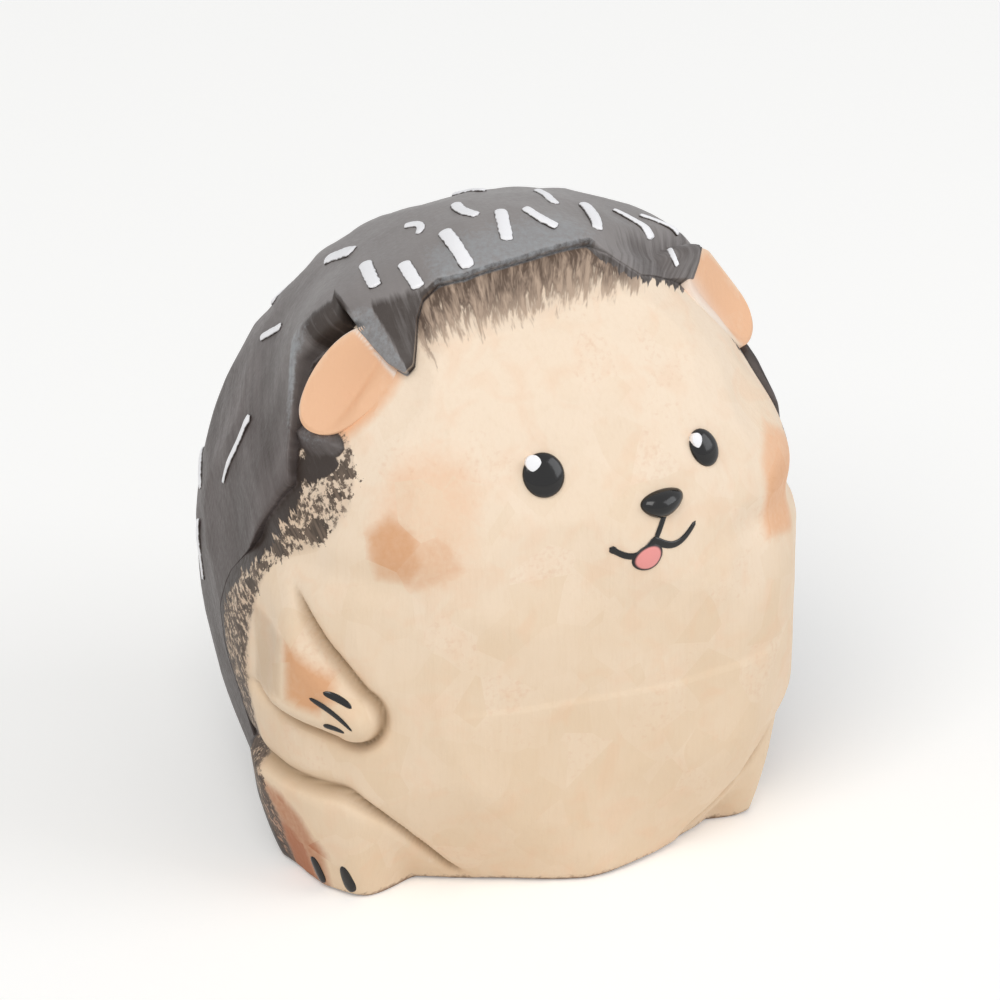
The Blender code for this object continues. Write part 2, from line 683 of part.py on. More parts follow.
def stroke_places():
    """Every quill stroke: turn round the coat's axis, reach from it, length and lean."""
    places = list(FRONT_STROKES)
    for row, (reach, first, last, count) in enumerate(REAR_ROWS):
        for number in range(count):
            turn = first + (last - first) * number / (count - 1)
            swing = math.sin(2.0 * number + row)
            places.append((turn, reach + 3.0 * swing, REAR_STROKE_LENGTH * (1.0 + 0.2 * swing),
                           25.0 * swing))
    return places


def build_strokes(parts):
    """White quills, each a thin strip on the coat that points away from the coat's axis."""
    for number, (turn, reach, length, lean) in enumerate(stroke_places()):
        turn, reach = math.radians(turn), math.radians(reach)
        way = coat_way(np.array(turn), np.array(reach))
        outward = coat_way(np.array(turn), np.array(reach + NORMAL_STEP)) - way
        side, up = tangents(way)
        heading = math.degrees(math.atan2(outward @ up, outward @ side)) + lean
        add_object(f"quill_stroke_{number + 1:02d}",
                   bar(way, length, STROKE_WIDTH, STROKE_THICKNESS, coat_height, heading),
                   parts, "white_paint")


def centre_on_origin(parts, cutters):
    """Moves every mesh so that the origin is under the middle of the parts' box."""
    spots = np.array([vertex.co[:2] for thing in parts.objects if thing.type == "MESH"
                      for vertex in thing.data.vertices])
    middle = (spots.min(0) + spots.max(0)) / 2
    shift = Matrix.Translation((-middle[0], -middle[1], 0.0))
    for thing in [*parts.objects, *cutters.objects]:
        thing.data.transform(shift)


def main():
    clear_scene()
    parts = new_collection("carved_hedgehog_figurine")
    cutters = new_collection("cutters")
    rebate = build_coat(parts, cutters)
    pockets = build_ears(parts, cutters)
    build_body(parts, [base_cutter(cutters), rebate, *pockets])
    build_face(parts)
    build_mouth(parts)
    build_claws(parts)
    build_strokes(parts)
    centre_on_origin(parts, cutters)


main()
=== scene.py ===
"""Visual pieces of a carved and painted wooden hedgehog figurine.

The animal sits upright and faces -Y, with its own left side at +X and +Z up. One block of
basswood is carved in the round with a knife. A thin cream wash covers the face and belly, a dark
coat with white quills covers the crown and back, and the features are brushed on in enamel.

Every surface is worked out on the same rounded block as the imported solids: a way is a unit
direction from the block's middle, and a surface is a distance along each way. Lengths are metres.
"""
import math

import bpy
import numpy as np
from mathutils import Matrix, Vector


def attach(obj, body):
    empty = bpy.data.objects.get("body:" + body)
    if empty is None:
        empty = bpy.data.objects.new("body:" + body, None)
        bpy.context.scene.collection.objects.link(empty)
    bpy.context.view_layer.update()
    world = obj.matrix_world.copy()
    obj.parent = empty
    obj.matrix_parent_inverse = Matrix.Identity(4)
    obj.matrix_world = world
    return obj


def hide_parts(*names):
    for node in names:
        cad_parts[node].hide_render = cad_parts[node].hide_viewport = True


bl_info = {
    "name": "Carved hedgehog figurine",
    "version": (1, 0, 0),
    "blender": (4, 5, 0),
    "location": "View3D > Sidebar > Figurine",
    "description": "Carved basswood body, painted coat, ears, face, claws and quills",
    "category": "Add Mesh",
}

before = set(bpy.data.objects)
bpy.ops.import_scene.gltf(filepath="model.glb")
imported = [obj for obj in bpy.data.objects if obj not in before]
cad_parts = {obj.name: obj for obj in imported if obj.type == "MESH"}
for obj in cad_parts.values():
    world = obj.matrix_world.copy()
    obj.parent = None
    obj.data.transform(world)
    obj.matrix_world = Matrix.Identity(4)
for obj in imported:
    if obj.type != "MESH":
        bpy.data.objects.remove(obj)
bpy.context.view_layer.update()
NODES = list(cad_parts)
MM = 0.001

# The block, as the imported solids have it
HEIGHT, WAIST_HEIGHT, HALF_WIDTH = 0.0455, 0.0195, 0.0204
FRONT_DEPTH, BACK_DEPTH = 0.0172, 0.0204
PLAN_ROUNDNESS, CROWN_ROUNDNESS, HIP_ROUNDNESS = 2.8, 1.9, 2.3
FRONT_DROP, BACK_DROP = 0.042, 0.022
CENTRE = np.array([-0.000187, -0.001487, WAIST_HEIGHT])
NORMAL_STEP = 0.004

# Knife cuts: broad ones as in the solids, and finer ones left by the last paring. The wear rounds
# their arrises, and a cut reaches only the ways that face it.
BROAD_CUTS, BROAD_DEPTH, BROAD_WEAR = 64, 0.00028, 0.00003
FINE_CUTS, FINE_TURN, FINE_WEAR, FINE_SHARE = 420, 0.7, 0.00001, 0.8
FINE_LEAST, FINE_MOST, LEAST_FACING = -0.00003, 0.00018, 0.2

# The coat: its axis rises from level at the back, and its edge is given round that axis
COAT_TILT, COAT_TURN, COAT_SKEW, LEFT_EDGE_TURN = 35.0, 0.5, 0.13, 10.0
COAT_THICKNESS, GAP, FLOOR_CLEARANCE = 0.0011, 0.0003, 0.0013
LIP_RISE, LIP_REACH = 0.0007, 0.008
WALL_TURN, WALL_WIDTH = 36.0, 10.0
COAT_EDGE = (
    (0, 68.0), (14, 68), (18, 68.5), (20.5, 73), (23.5, 80), (25.5, 78), (29, 70), (32, 66),
    (44, 66), (50, 78), (54, 88), (60, 90), (74, 91), (86, 89), (99, 90), (107, 97), (111, 107),
    (115, 116), (122, 119), (180, 124),
)
# The right tuft as carved, turn and reach: a leaf that laps over the ear's rim
RIGHT_TUFT = (
    (-32.6, 66.0), (-31.4, 69.0), (-30.6, 72.0), (-29.4, 76.2), (-28.0, 79.6), (-26.0, 82.0),
    (-24.2, 81.2), (-22.6, 77.8), (-21.2, 73.8), (-19.4, 71.0), (-16.0, 69.3), (-12.0, 69.5),
)
# The left tuft: it lies flush, laps over the ear's front rim, and its paint ends ragged
LEFT_TUFT = (
    (12.0, 66.6), (15.0, 67.8), (18.0, 70.2), (20.5, 71.8), (24.0, 71.4), (28.0, 71.2),
    (31.0, 71.2), (33.2, 70.4), (34.2, 68.4), (34.9, 65.0), (35.6, 62.0), (36.6, 59.6),
)
LAP = 0.00012
# The line from which the coat's swelling fades backwards, turn and reach
LIP_LINE = (
    (-100, 90), (-74, 88), (-60, 80), (-46, 68), (-32, 67), (-18, 69.5), (0, 68), (18, 66),
    (28, 63.5), (46, 61), (60, 74), (74, 86), (100, 90),
)
# Degrees that the dark paint runs past the carved edge, by turn round the axis
PAINT_SHIFT = (
    (-180, 9), (-126, 9), (-118, 2.0), (-100, 2.0), (-80, 3.5), (-56, 3.5), (-50, 2.0),
    (-46, 1.6), (-32, 1.6), (-30, 0), (11.5, 0), (13.0, 1.6), (16, 2.4), (20, 1.4), (33, 1.0),
    (36, 0.2), (46, 2.0), (56, 6.0), (80, 5.5), (110, 3.0), (118, 2.0), (126, 9), (180, 9),
)
# Outer border of the loose brown brushwork down both sides, turn and reach
BAND = (
    (40, 91.5), (41.5, 95.0), (44.5, 98.8), (50, 101.0), (55.5, 101.5), (62, 99.5), (67.5, 98.0),
    (77.5, 99.5), (88.5, 102.5), (98, 107.5), (104, 113), (108, 119), (112, 126), (180, 140),
)
# Thick daubs of the coat's colour in it: turn and reach of both ends in degrees, half width in mm
DAUBS = (
    (-43.0, 90.8, -41.0, 95.2, 0.40), (-47.0, 91.5, -42.5, 93.2, 0.30),
    (-48.0, 94.2, -44.0, 96.8, 0.36), (-56.5, 98.0, -50.5, 100.0, 0.80),
    (-60.5, 94.0, -57.5, 98.6, 0.5), (-67.5, 93.5, -63.5, 98.6, 0.7),
    (-73.0, 95.5, -69.0, 97.8, 0.36), (-80.0, 94.6, -75.5, 99.0, 0.6),
    (-86.5, 97.5, -83.0, 99.0, 0.34), (-93.0, 95.5, -89.0, 102.0, 0.5),
    (-98.0, 101.0, -96.0, 104.5, 0.36), (-105.0, 101.0, -101.5, 110.0, 0.55),
    (-108.5, 112.0, -106.0, 116.0, 0.4), (-112.0, 116.0, -109.0, 122.0, 0.5),
)
# The leaf of coat under the right ear, and the dark point of paint under it
LEAF = (-50.5, 79.5, -41.2, 89.4, 1.15)
POINT = (-57.0, 85.0, -43.2, 91.0, 0.95)
# Dark paint on the body behind each ear
BEHIND_EARS = ((-43.5, 61.5, -47.5, 85.5, 2.6), (46.0, 63.0, 49.5, 79.5, 1.7))

# Ears
EARS_MIDDLE, EAR_ROUND, EAR_REACH, EAR_SKEW = 3.3, 38.7, 75.2, 4.0
EAR_HALF_WIDTH, EAR_HALF_HEIGHT = 0.0023, 0.0043
EAR_TURN, EAR_FORE_SLOPE, EAR_SEAT = 18.0, 0.25, 0.0009
EAR_FOOT, EAR_RIM_RISE, EAR_RIM_ROUND, EAR_RIM = 0.00003, 0.0003, 0.00025, 0.93
EAR_STEP = math.radians(0.7)

# Face, limbs and claws
FACE_AZIMUTH, EYE_SPREAD, EYE_HEIGHT = 14.2, 22.0, 0.0318
# Half width, half height, turn and drop of each eye: the left one lies on the turn of the cheek
LEFT_EYE, RIGHT_EYE = (0.00106, 0.00140, 16.0, 0.0002), (0.0015, 0.0015, 0.0, 0.0)
EYE_THICKNESS, GLINT_ACROSS, GLINT_UP, GLINT_SIZE = 0.00055, -0.50, 0.56, 0.36
GLINT_FOOT, GLINT_THICKNESS = 0.00043, 0.0001
MUZZLE_AZIMUTH, MUZZLE_HEIGHT, MUZZLE_RADIUS, MUZZLE_RISE = 18.0, 0.0275, 0.0066, 0.0009
NOSE_AZIMUTH, NOSE_HEIGHT = 21.6, 0.0288
NOSE_HALF_WIDTH, NOSE_HALF_HEIGHT, NOSE_THICKNESS, NOSE_TURN = 0.0016, 0.00092, 0.00085, -5.0
MOUTH_AZIMUTH, MOUTH_HEIGHT, MOUTH_HALF_WIDTH, MOUTH_SAG = 18.2, 0.0265, 0.0033, 0.0008
MOUTH_LINE, MOUTH_THICKNESS, PHILTRUM_LINE, LINE_THICKNESS = 0.00029, 0.00008, 0.00020, 0.00006
TONGUE_AZIMUTH, TONGUE_HEIGHT, TONGUE_TURN = 16.1, 0.0254, 16.0
TONGUE_HALF_WIDTH, TONGUE_HALF_HEIGHT, TONGUE_THICKNESS = 0.00115, 0.00088, 0.00022
CHEEK_SPREAD, CHEEK_HEIGHT, CHEEK_RADIUS, CHEEK_RISE = 48.0, 0.0290, 0.0068, 0.0006
NECK_HEIGHT, NECK_DEPTH, NECK_WIDTH = 0.0252, 0.0005, 0.0014
LIMB_MIDDLE, SHOULDER_SPREAD, SHOULDER_HEIGHT = 19.0, 92.5, 0.0193
HAND_SPREAD, HAND_HEIGHT = 68.5, 0.0147
SHOULDER_RADIUS, HAND_RADIUS = 0.0059, 0.0023
CLAW_SPREAD, CLAW_HEIGHT = 67.3, 0.0143
RIGHT_ARM_RISE, LEFT_ARM_RISE = 0.0014, 0.0004
LEG_MIDDLE, LEG_TOP, LEG_START, LEG_SWEEP = 4.0, 0.0086, 29.0, 28.0
RIGHT_LEG_RISE, LEFT_LEG_RISE, LEG_FULL, LEG_END = 0.0009, -0.0006, 56.0, 100.0
LEG_SOFTNESS, LEG_RISE_SWEEP, LEG_GROOVE_SWEEP, LEG_FADE = 0.0016, 10.0, 6.0, 22.0
BELLY_UNDERCUT, BELLY_UNDERCUT_HEIGHT, BELLY_CURVE = 0.0028, 0.0095, 1.5
NECK_START, NECK_SWEEP = 20.0, 35.0
LEDGE_HEIGHT, LEDGE_DEPTH, LEDGE_STEP, LEDGE_FADE = 0.0151, 0.00013, 0.4, 3.0
FOOT_MIDDLE, FOOT_CLAW_SPREADS, FOOT_CLAW_HEIGHT = 10.0, (62.0, 69.0), 0.0018
PAW_CLAW_LINE, FOOT_CLAW_LINE = 0.00020, 0.00042
FOOT_CLAW_HALF, FOOT_CLAW_THICKNESS = 0.00105, 0.00016

# Spans of turn round the coat's axis, or of azimuth for the ledge and the belly, in degrees: first
# and last, and how far each end fades
FRINGE_SPAN, FRAYED_SPAN = (-23.5, 27.0, 3.0, 14.0), (12.0, 34.5, 3.0, 2.0)
RAGGED_SPAN, SWEEP_SPAN = (11.0, 46.0, 4.0, 4.0), (-20.0, 16.0, 6.0, 8.0)
TUFT_SPAN, TUFT_PAINT_SPAN = (-33.2, -18.0, 2.0, 2.0), (-33.2, -17.5, 1.5, 1.5)
FLUSH_SPAN, LEFT_TUFT_SPAN = (11.0, 40.0, 6.0, 4.0), (10.0, 44.0, 16.0, 3.0)
ABOVE_EAR_SPAN, EDGE_HIGHLIGHT_SPAN = (-41.0, -17.0, 3.0, 3.0), (-34.0, -25.0, 2.9, 2.9)
LEDGE_SPAN, BELLY_SPAN = (-34.0, 60.0, 16.0, 12.0), (-4.0, LEG_FULL - 2.0, 46.0, 10.0)

# Glazed facets: strength, then the azimuth in degrees and height in mm of each corner, going round
PEACH_FACETS = ((0.85, (50.5, 29.4), (58, 31.2), (67, 28.6), (58, 22.6), (48, 23.6)),)
TAN_FACETS = (
    (0.78, (-48.5, 28.6), (-44, 30.2), (-38.0, 29.2), (-35.0, 26.6), (-38, 25.0), (-46, 25.2)),
    (0.45, (-40, 28.8), (-31, 28.6), (-26.5, 26.0), (-38.5, 24.4)),
    (0.36, (50.5, 27.8), (64, 28.8), (60, 22.2), (49, 22.8)),
)
WRIST_FACETS = ((1.0, (-62.5, 20.2), (-52.0, 18.0), (-50.5, 16.4), (-55.0, 15.2), (-61.5, 15.6)),)
# Painted shade on the outer side of the arm, laid into the grooves' mask
SHADED_ARM_FACETS = ((0.46, (-78, 20.8), (-62.5, 20.2), (-61.5, 15.4), (-76, 14.2)),)
FOOT_FACETS = (
    (0.82, (-74, 7.6), (-66, 7.4), (-60.5, 6.2), (-56.0, 3.6), (-55.5, -1), (-80, -1)),
    (1.0, (-72, 5.2), (-64, 5.0), (-59.5, 3.4), (-58.5, -1), (-78, -1)),
)


def ease(t):
    """Smooth step from 0 to 1: three t squared less two t cubed."""
    t = np.clip(t, 0.0, 1.0)
    return t * t * (3.0 - 2.0 * t)


def between(value, first, last, rise, fall):
    """A span's share: 1 inside it, eased up after its first limit and down before its last.

    It is the smooth step of the distance past the first limit over the rise, times the smooth step
    of the distance left to the last limit over the fall.
    """
    return ease((value - first) / rise) * ease((last - value) / fall)


def towards(azimuth, elevation):
    """Unit ways: azimuth 0 is the front and grows to the animal's left, in radians."""
    flat = np.cos(elevation)
    return np.stack([np.sin(azimuth) * flat, -np.cos(azimuth) * flat, np.sin(elevation)], -1)


def azimuth_of(way):
    """Angle round the upright from the front, from the way's x and y."""
    return np.arctan2(way[..., 0], -way[..., 1])


def unit(vectors):
    """Each vector divided by its length."""
    return vectors / np.linalg.norm(vectors, axis=-1, keepdims=True)


def rounded_block(way):
    """Radius of the uncut block: a superellipse in plan, swept into another one upright."""
    x, y, z = way[..., 0], way[..., 1], way[..., 2]
    depth = np.where(y < 0, FRONT_DEPTH, BACK_DEPTH)
    plan = np.abs(x / HALF_WIDTH) ** PLAN_ROUNDNESS + np.abs(y / depth) ** PLAN_ROUNDNESS
    rear = 0.5 + 0.5 * np.tanh(2.0 * y + 0.35)
    below = FRONT_DROP * (1.0 - rear) + BACK_DROP * rear
    rise = np.where(z > 0, HEIGHT - WAIST_HEIGHT, below)
    power = np.where(z > 0, CROWN_ROUNDNESS, HIP_ROUNDNESS)
    return (plan ** (power / PLAN_ROUNDNESS) + np.abs(z / rise) ** power) ** (-1.0 / power)


def tangents(way):
    """Two unit directions across each way: to the animal's left at the front, and up."""
    side = np.cross(np.array([0.0, 0.0, 1.0]), way)
    length = np.linalg.norm(side, axis=-1, keepdims=True)
    side = np.where(length > 1e-4, side / np.maximum(length, 1e-9), np.array([1.0, 0.0, 0.0]))
    return side, np.cross(way, side)


def normals(way):
    """Outward normals of the uncut block: the cross product of two short steps along it."""
    side, up = tangents(way)

    def at(shifted):
        shifted = unit(shifted)
        return shifted * rounded_block(shifted)[..., None]

    across = at(way + NORMAL_STEP * side) - at(way - NORMAL_STEP * side)
    along = at(way + NORMAL_STEP * up) - at(way - NORMAL_STEP * up)
    return unit(np.cross(across, along))


def knife_planes(count, depth, first_turn):
    """Flat cuts at even spacing: a spiral of turns by the golden angle, each a fixed depth in."""
    number = np.arange(count) + 0.5
    turn = number * math.pi * (3.0 - math.sqrt(5.0)) + first_turn
    way = towards(turn, np.arcsin(1.0 - 2.0 * number / count))
    normal = normals(way)
    return normal, np.sum(normal * way, -1) * rounded_block(way) - depth


BROAD_NORMALS, BROAD_DISTANCES = knife_planes(BROAD_CUTS, BROAD_DEPTH, 0.0)


def flats(way, plane_normals, distances, softness):
    """Distance to the nearest plane along each way, as a soft minimum so that arrises are worn."""
    found = np.empty(way.shape[:-1])
    flat_way, flat_found = way.reshape(-1, 3), found.reshape(-1)
    for part in np.array_split(np.arange(len(flat_way)), max(1, len(flat_way) // 20000)):
        facing = flat_way[part] @ plane_normals.T
        reach = distances / np.maximum(facing, LEAST_FACING)
        reach = np.where(facing > LEAST_FACING, reach, 1.0)
        least = reach.min(-1)
        near = np.exp((least[:, None] - reach) / softness).sum(-1)
        flat_found[part] = least - softness * np.log(near)
    return found


def hull_radius(way):
    """The block with its broad knife cuts, their arrises worn round."""
    return np.minimum(rounded_block(way), flats(way, BROAD_NORMALS, BROAD_DISTANCES, BROAD_WEAR))


def raised(way, height):
    """Points of the cut block, moved out along the uncut block's normals."""
    return CENTRE + way * hull_radius(way)[..., None] + normals(way) * height[..., None]


def hull_point(way):
    """Points of the cut block."""
    return CENTRE + way * hull_radius(way)[..., None]


def spot(azimuth_degrees, height):
    """The way to the block's point at an azimuth and a height, found by halving the elevation."""
    azimuth = np.radians(azimuth_degrees)
    low, high = -1.3, 1.5
    for _ in range(30):
        middle = (low + high) / 2
        way = towards(azimuth, middle)
        if WAIST_HEIGHT + way[2] * hull_radius(way[None])[0] < height:
            low = middle
        else:
            high = middle
    return towards(azimuth, (low + high) / 2)


def across_hull(centre_way, right, up, turn_degrees=0.0):
    """Ways to points laid out flat round a spot, in metres to the right and up."""
    turn = np.radians(turn_degrees)
    side, rise = tangents(centre_way)
    a = right * np.cos(turn) - up * np.sin(turn)
    b = right * np.sin(turn) + up * np.cos(turn)
    middle = centre_way * hull_radius(centre_way[None])[0]
    return unit(middle + a[..., None] * side + b[..., None] * rise)


MIDDLE = {side: {
    "hand": hull_point(spot(LIMB_MIDDLE + side * HAND_SPREAD, HAND_HEIGHT)),
    "shoulder": hull_point(spot(LIMB_MIDDLE + side * SHOULDER_SPREAD, SHOULDER_HEIGHT)),
    "cheek": hull_point(spot(FACE_AZIMUTH + side * CHEEK_SPREAD, CHEEK_HEIGHT)),
} for side in (-1, 1)}
MUZZLE = hull_point(spot(MUZZLE_AZIMUTH, MUZZLE_HEIGHT))


def swelling(points, middle, radius, rise):
    """A soft round bump: smooth step of the distance from its middle."""
    return rise * ease(1.0 - np.linalg.norm(points - middle, axis=-1) / radius)


def knife_groove(distance, width):
    """A carved groove's share of its depth: a bell that is sharper at the bottom than a curve."""
    return np.exp(-np.abs(distance / width) ** 1.35)


def arm_outside(points, side):
    """Distance outside a tapering limb from shoulder to hand, and the share along it."""
    start, end = MIDDLE[side]["shoulder"], MIDDLE[side]["hand"]
    axis = end - start
    along = np.clip((points - start) @ axis / (axis @ axis), 0.0, 1.0)
    radius = SHOULDER_RADIUS + (HAND_RADIUS - SHOULDER_RADIUS) * along
    return np.linalg.norm(points - start - along[..., None] * axis, axis=-1) - radius, along


def carving(way):
    """Height of the body's relief on the block, and the share of a groove's depth at each point.

    Bumps make the muzzle and the cheeks, capsules the arms, and steps the legs. Bells cut the neck
    and the grooves, and a power of the height draws the belly in at the bottom.
    """
    form = bpy.context.scene.figurine_form
    points = hull_point(way)
    azimuth = azimuth_of(way)
    degrees = np.degrees(azimuth)
    height = swelling(points, MUZZLE, MUZZLE_RADIUS, MUZZLE_RISE)
    hollow = np.zeros(height.shape)
    for side in (-1, 1):
        height = height + swelling(points, MIDDLE[side]["cheek"], CHEEK_RADIUS, CHEEK_RISE)
        outside, along = arm_outside(points, side)
        rise = LEFT_ARM_RISE if side > 0 else RIGHT_ARM_RISE
        cut = knife_groove(outside, form.groove_width) * ease(along * 3.0)
        height = height + rise * ease(along * 1.6) * ease(-outside / HAND_RADIUS + 0.15)
        hollow = np.maximum(hollow, cut)
    sideways = ease((np.abs(degrees) - NECK_START) / NECK_SWEEP)
    neck = np.exp(-((points[..., 2] - NECK_HEIGHT) / NECK_WIDTH) ** 2)
    height = height - NECK_DEPTH * neck * sideways
    over = (points[..., 2] - LEDGE_HEIGHT) / MM
    ledge = ease(over / LEDGE_STEP + 0.5) * np.exp(-np.clip(over, 0.0, 9.0) / LEDGE_FADE)
    height = height - LEDGE_DEPTH * ledge * between(degrees, *LEDGE_SPAN)
    turn = np.abs(degrees - LEG_MIDDLE)
    above = points[..., 2] - LEG_TOP * ease((turn - LEG_START) / LEG_SWEEP)
    front = ease((LEG_END - turn) / LEG_FADE)
    rise = np.where(azimuth < 0, RIGHT_LEG_RISE, LEFT_LEG_RISE)
    leg = rise * ease(0.5 - above / LEG_SOFTNESS) * front
    leg = leg * ease((turn - LEG_FULL) / LEG_RISE_SWEEP + 1.0)
    bottom = np.clip(1.0 - points[..., 2] / BELLY_UNDERCUT_HEIGHT, 0.0, 1.0) ** BELLY_CURVE
    undercut = BELLY_UNDERCUT * bottom * between(turn, *BELLY_SPAN)
    cut = knife_groove(above, form.groove_width) * front
    hollow = np.maximum(hollow, cut * ease((turn - LEG_START) / LEG_GROOVE_SWEEP))
    height = height + leg - undercut - form.groove_depth * hollow
    return height, hollow


def body_height(way):
    """Height of the body's relief on the block."""
    return carving(way)[0]


COAT_AXIS = towards(math.pi, math.radians(COAT_TILT))
COAT_FORWARD = towards(0.0, math.radians(90.0 - COAT_TILT))
COAT_LEFT = np.array([1.0, 0.0, 0.0])


def coat_way(turn, reach):
    """The way at a turn round the coat's axis and an angle from it, in radians."""
    return (np.cos(reach)[..., None] * COAT_AXIS
            + (np.sin(reach) * np.cos(turn))[..., None] * COAT_FORWARD
            + (np.sin(reach) * np.sin(turn))[..., None] * COAT_LEFT)


def around_axis(way):
    """Turn round the coat's axis and angle from it."""
    turn = np.arctan2(way @ COAT_LEFT, way @ COAT_FORWARD)
    return turn, np.arccos(np.clip(way @ COAT_AXIS, -1.0, 1.0))


def ear_centre(side):
    """The way to an ear's middle."""
    return coat_way(np.radians(EARS_MIDDLE + side * EAR_ROUND),
                    np.radians(EAR_REACH - side * EAR_SKEW))


def ear_outlines():
    """Both ears' outlines, with room round them, as turns and angles from the coat's axis."""
    t = np.linspace(0.0, 2 * math.pi, 97)
    room = 1.2 * GAP
    ways = [across_hull(ear_centre(side), np.cos(t) * (EAR_HALF_WIDTH + room),
                        np.sin(t) * (EAR_HALF_HEIGHT + room), side * EAR_TURN) for side in (-1, 1)]
    return around_axis(np.concatenate(ways))


EAR_TURNS, EAR_REACHES = ear_outlines()


def ear_place(way, side):
    """Where a way crosses an ear's flat: across and up, 1 at the ear's outline."""
    centre = ear_centre(side)
    right, up = tangents(centre)
    facing = np.maximum(way @ centre, 0.1)
    flat = way * (hull_radius(centre[None])[0] / facing)[..., None]
    a, b = flat @ right, flat @ up
    turn = math.radians(side * EAR_TURN)
    across = (a * math.cos(turn) + b * math.sin(turn)) / EAR_HALF_WIDTH
    along = (b * math.cos(turn) - a * math.sin(turn)) / EAR_HALF_HEIGHT
    return across, np.where(way @ centre > 0.1, along, 9.0)


def floor_reaches(turns):
    """Angle from the coat's axis at which the block comes down to the floor clearance."""
    low, high = np.full(len(turns), math.radians(60.0)), np.full(len(turns), math.radians(125.0))
    for _ in range(24):
        middle = (low + high) / 2
        above = hull_point(coat_way(turns, middle))[:, 2] > FLOOR_CLEARANCE
        low, high = np.where(above, middle, low), np.where(above, high, middle)
    return low


FLOOR_TURNS = np.radians(np.linspace(-180.0, 180.0, 181))
FLOOR_REACHES = floor_reaches(FLOOR_TURNS)


def coat_reach(turn):
    """Angle from the coat's axis to its carved edge, for turns round that axis, in radians."""
    degrees = np.degrees((turn + math.pi) % (2 * math.pi) - math.pi)
    fade = ease((110.0 - np.abs(degrees)) / 60.0)
    shifted = degrees - COAT_TURN * fade - LEFT_EDGE_TURN * (1.0 - fade) * (degrees > 0)
    stations = np.array(COAT_EDGE, float)
    reach = np.interp(np.abs(shifted), stations[:, 0], stations[:, 1])
    skew = COAT_SKEW * np.clip(shifted, -25.0, 25.0) * ease((60.0 - np.abs(shifted)) / 12.0)
    floor = np.interp(np.radians(degrees), FLOOR_TURNS, FLOOR_REACHES)
    order = np.argsort(EAR_TURNS)
    reach = np.minimum(np.radians(reach - skew), floor)
    for first in range(0, len(order), 16):
        some = order[first:first + 16]
        beside = np.abs(np.radians(degrees)[..., None] - EAR_TURNS[some]) < EAR_STEP
        reach = np.minimum(reach, np.where(beside, EAR_REACHES[some], math.pi).min(-1))
    tuft = np.array(RIGHT_TUFT)
    leaf = np.radians(np.interp(degrees, tuft[:, 0], tuft[:, 1]))
    reach = np.where((degrees > tuft[0, 0]) & (degrees < tuft[-1, 0]), leaf, reach)
    tuft = np.array(LEFT_TUFT)
    blunt = np.radians(np.interp(degrees, tuft[:, 0], tuft[:, 1]))
    return np.where((degrees > tuft[0, 0]) & (degrees < tuft[-1, 0]), blunt, reach)


def beside_line(turn, reach, start_turn, start_reach, end_turn, end_reach):
    """Share along a line on the unrolled coat, distance from it, and offset to its left, in mm."""
    scale = HALF_WIDTH / MM * math.radians(1.0)
    squeeze = math.sin(math.radians((start_reach + end_reach) / 2)) * scale
    x = np.degrees(turn) * squeeze - start_turn * squeeze
    y = np.degrees(reach) * scale - start_reach * scale
    axis = np.array([(end_turn - start_turn) * squeeze, (end_reach - start_reach) * scale])
    held = np.clip((x * axis[0] + y * axis[1]) / (axis @ axis), 0.0, 1.0)
    offset = (x * axis[1] - y * axis[0]) / np.linalg.norm(axis)
    return held, np.hypot(x - held * axis[0], y - held * axis[1]), offset


def blade(turn, reach, *line_and_width):
    """Millimetres inside a leaf shape: its half width follows a sine from end to end."""
    held, distance, _ = beside_line(turn, reach, *line_and_width[:4])
    return line_and_width[4] * np.sqrt(np.sin(math.pi * held).clip(0.0)) - distance


def ear_face(across, along, side):
    """Height of an ear's face: it eases up to the rear rim, less a bowl and the rim's roundness.

    The bowl is 1 less the square of the share of the ear's half width and height.
    """
    form = bpy.context.scene.figurine_form
    rise = form.left_ear_rise if side > 0 else form.right_ear_rise
    slope = EAR_FORE_SLOPE if side < 0 else 0.0
    share = np.hypot(across, along)
    rearward = ease((1.0 + side * across - slope * along) / 1.9)
    dish = form.ear_dish * np.clip(1.0 - share ** 2, 0.0, 1.0) * ease(rearward * 2.5)
    rounded = EAR_RIM_ROUND * ease((share - EAR_RIM) / (1.0 - EAR_RIM)) * rearward
    return EAR_FOOT + (rise + EAR_RIM_RISE) * rearward - dish - rounded


# The right tuft's ridge, how far it falls to its end, half its width in mm, its foot in metres,
# and the reach at which it starts and over which it comes in
TUFT_RIDGE, TUFT_FALL, TUFT_HALF_WIDTH, TUFT_FOOT = (-27.3, 69.0, -25.3, 82.0), 0.45, 2.4, 0.00025
TUFT_START, TUFT_SWEEP, FLUSH_START, FLUSH_SWEEP = 69.0, 4.0, 61.0, 6.0
# A full place on the crown behind the left ear: turn, reach and its spreads
FULL_CROWN = (28.0, 48.0, 8.0, 11.0)
# Where the crown's lip ends on both sides, and the least height of the coat's face
CROWN_END, CROWN_FADE, COAT_FOOT = 78.0, 26.0, 0.00002
# Where the coat laps over each ear: its side, the turn at which it ends, and the share of an ear's
# half width over which it comes down
LAPS = ((-1, -EAR_ROUND + 4.5, 0.15), (1, EAR_ROUND - 0.5, 0.60))


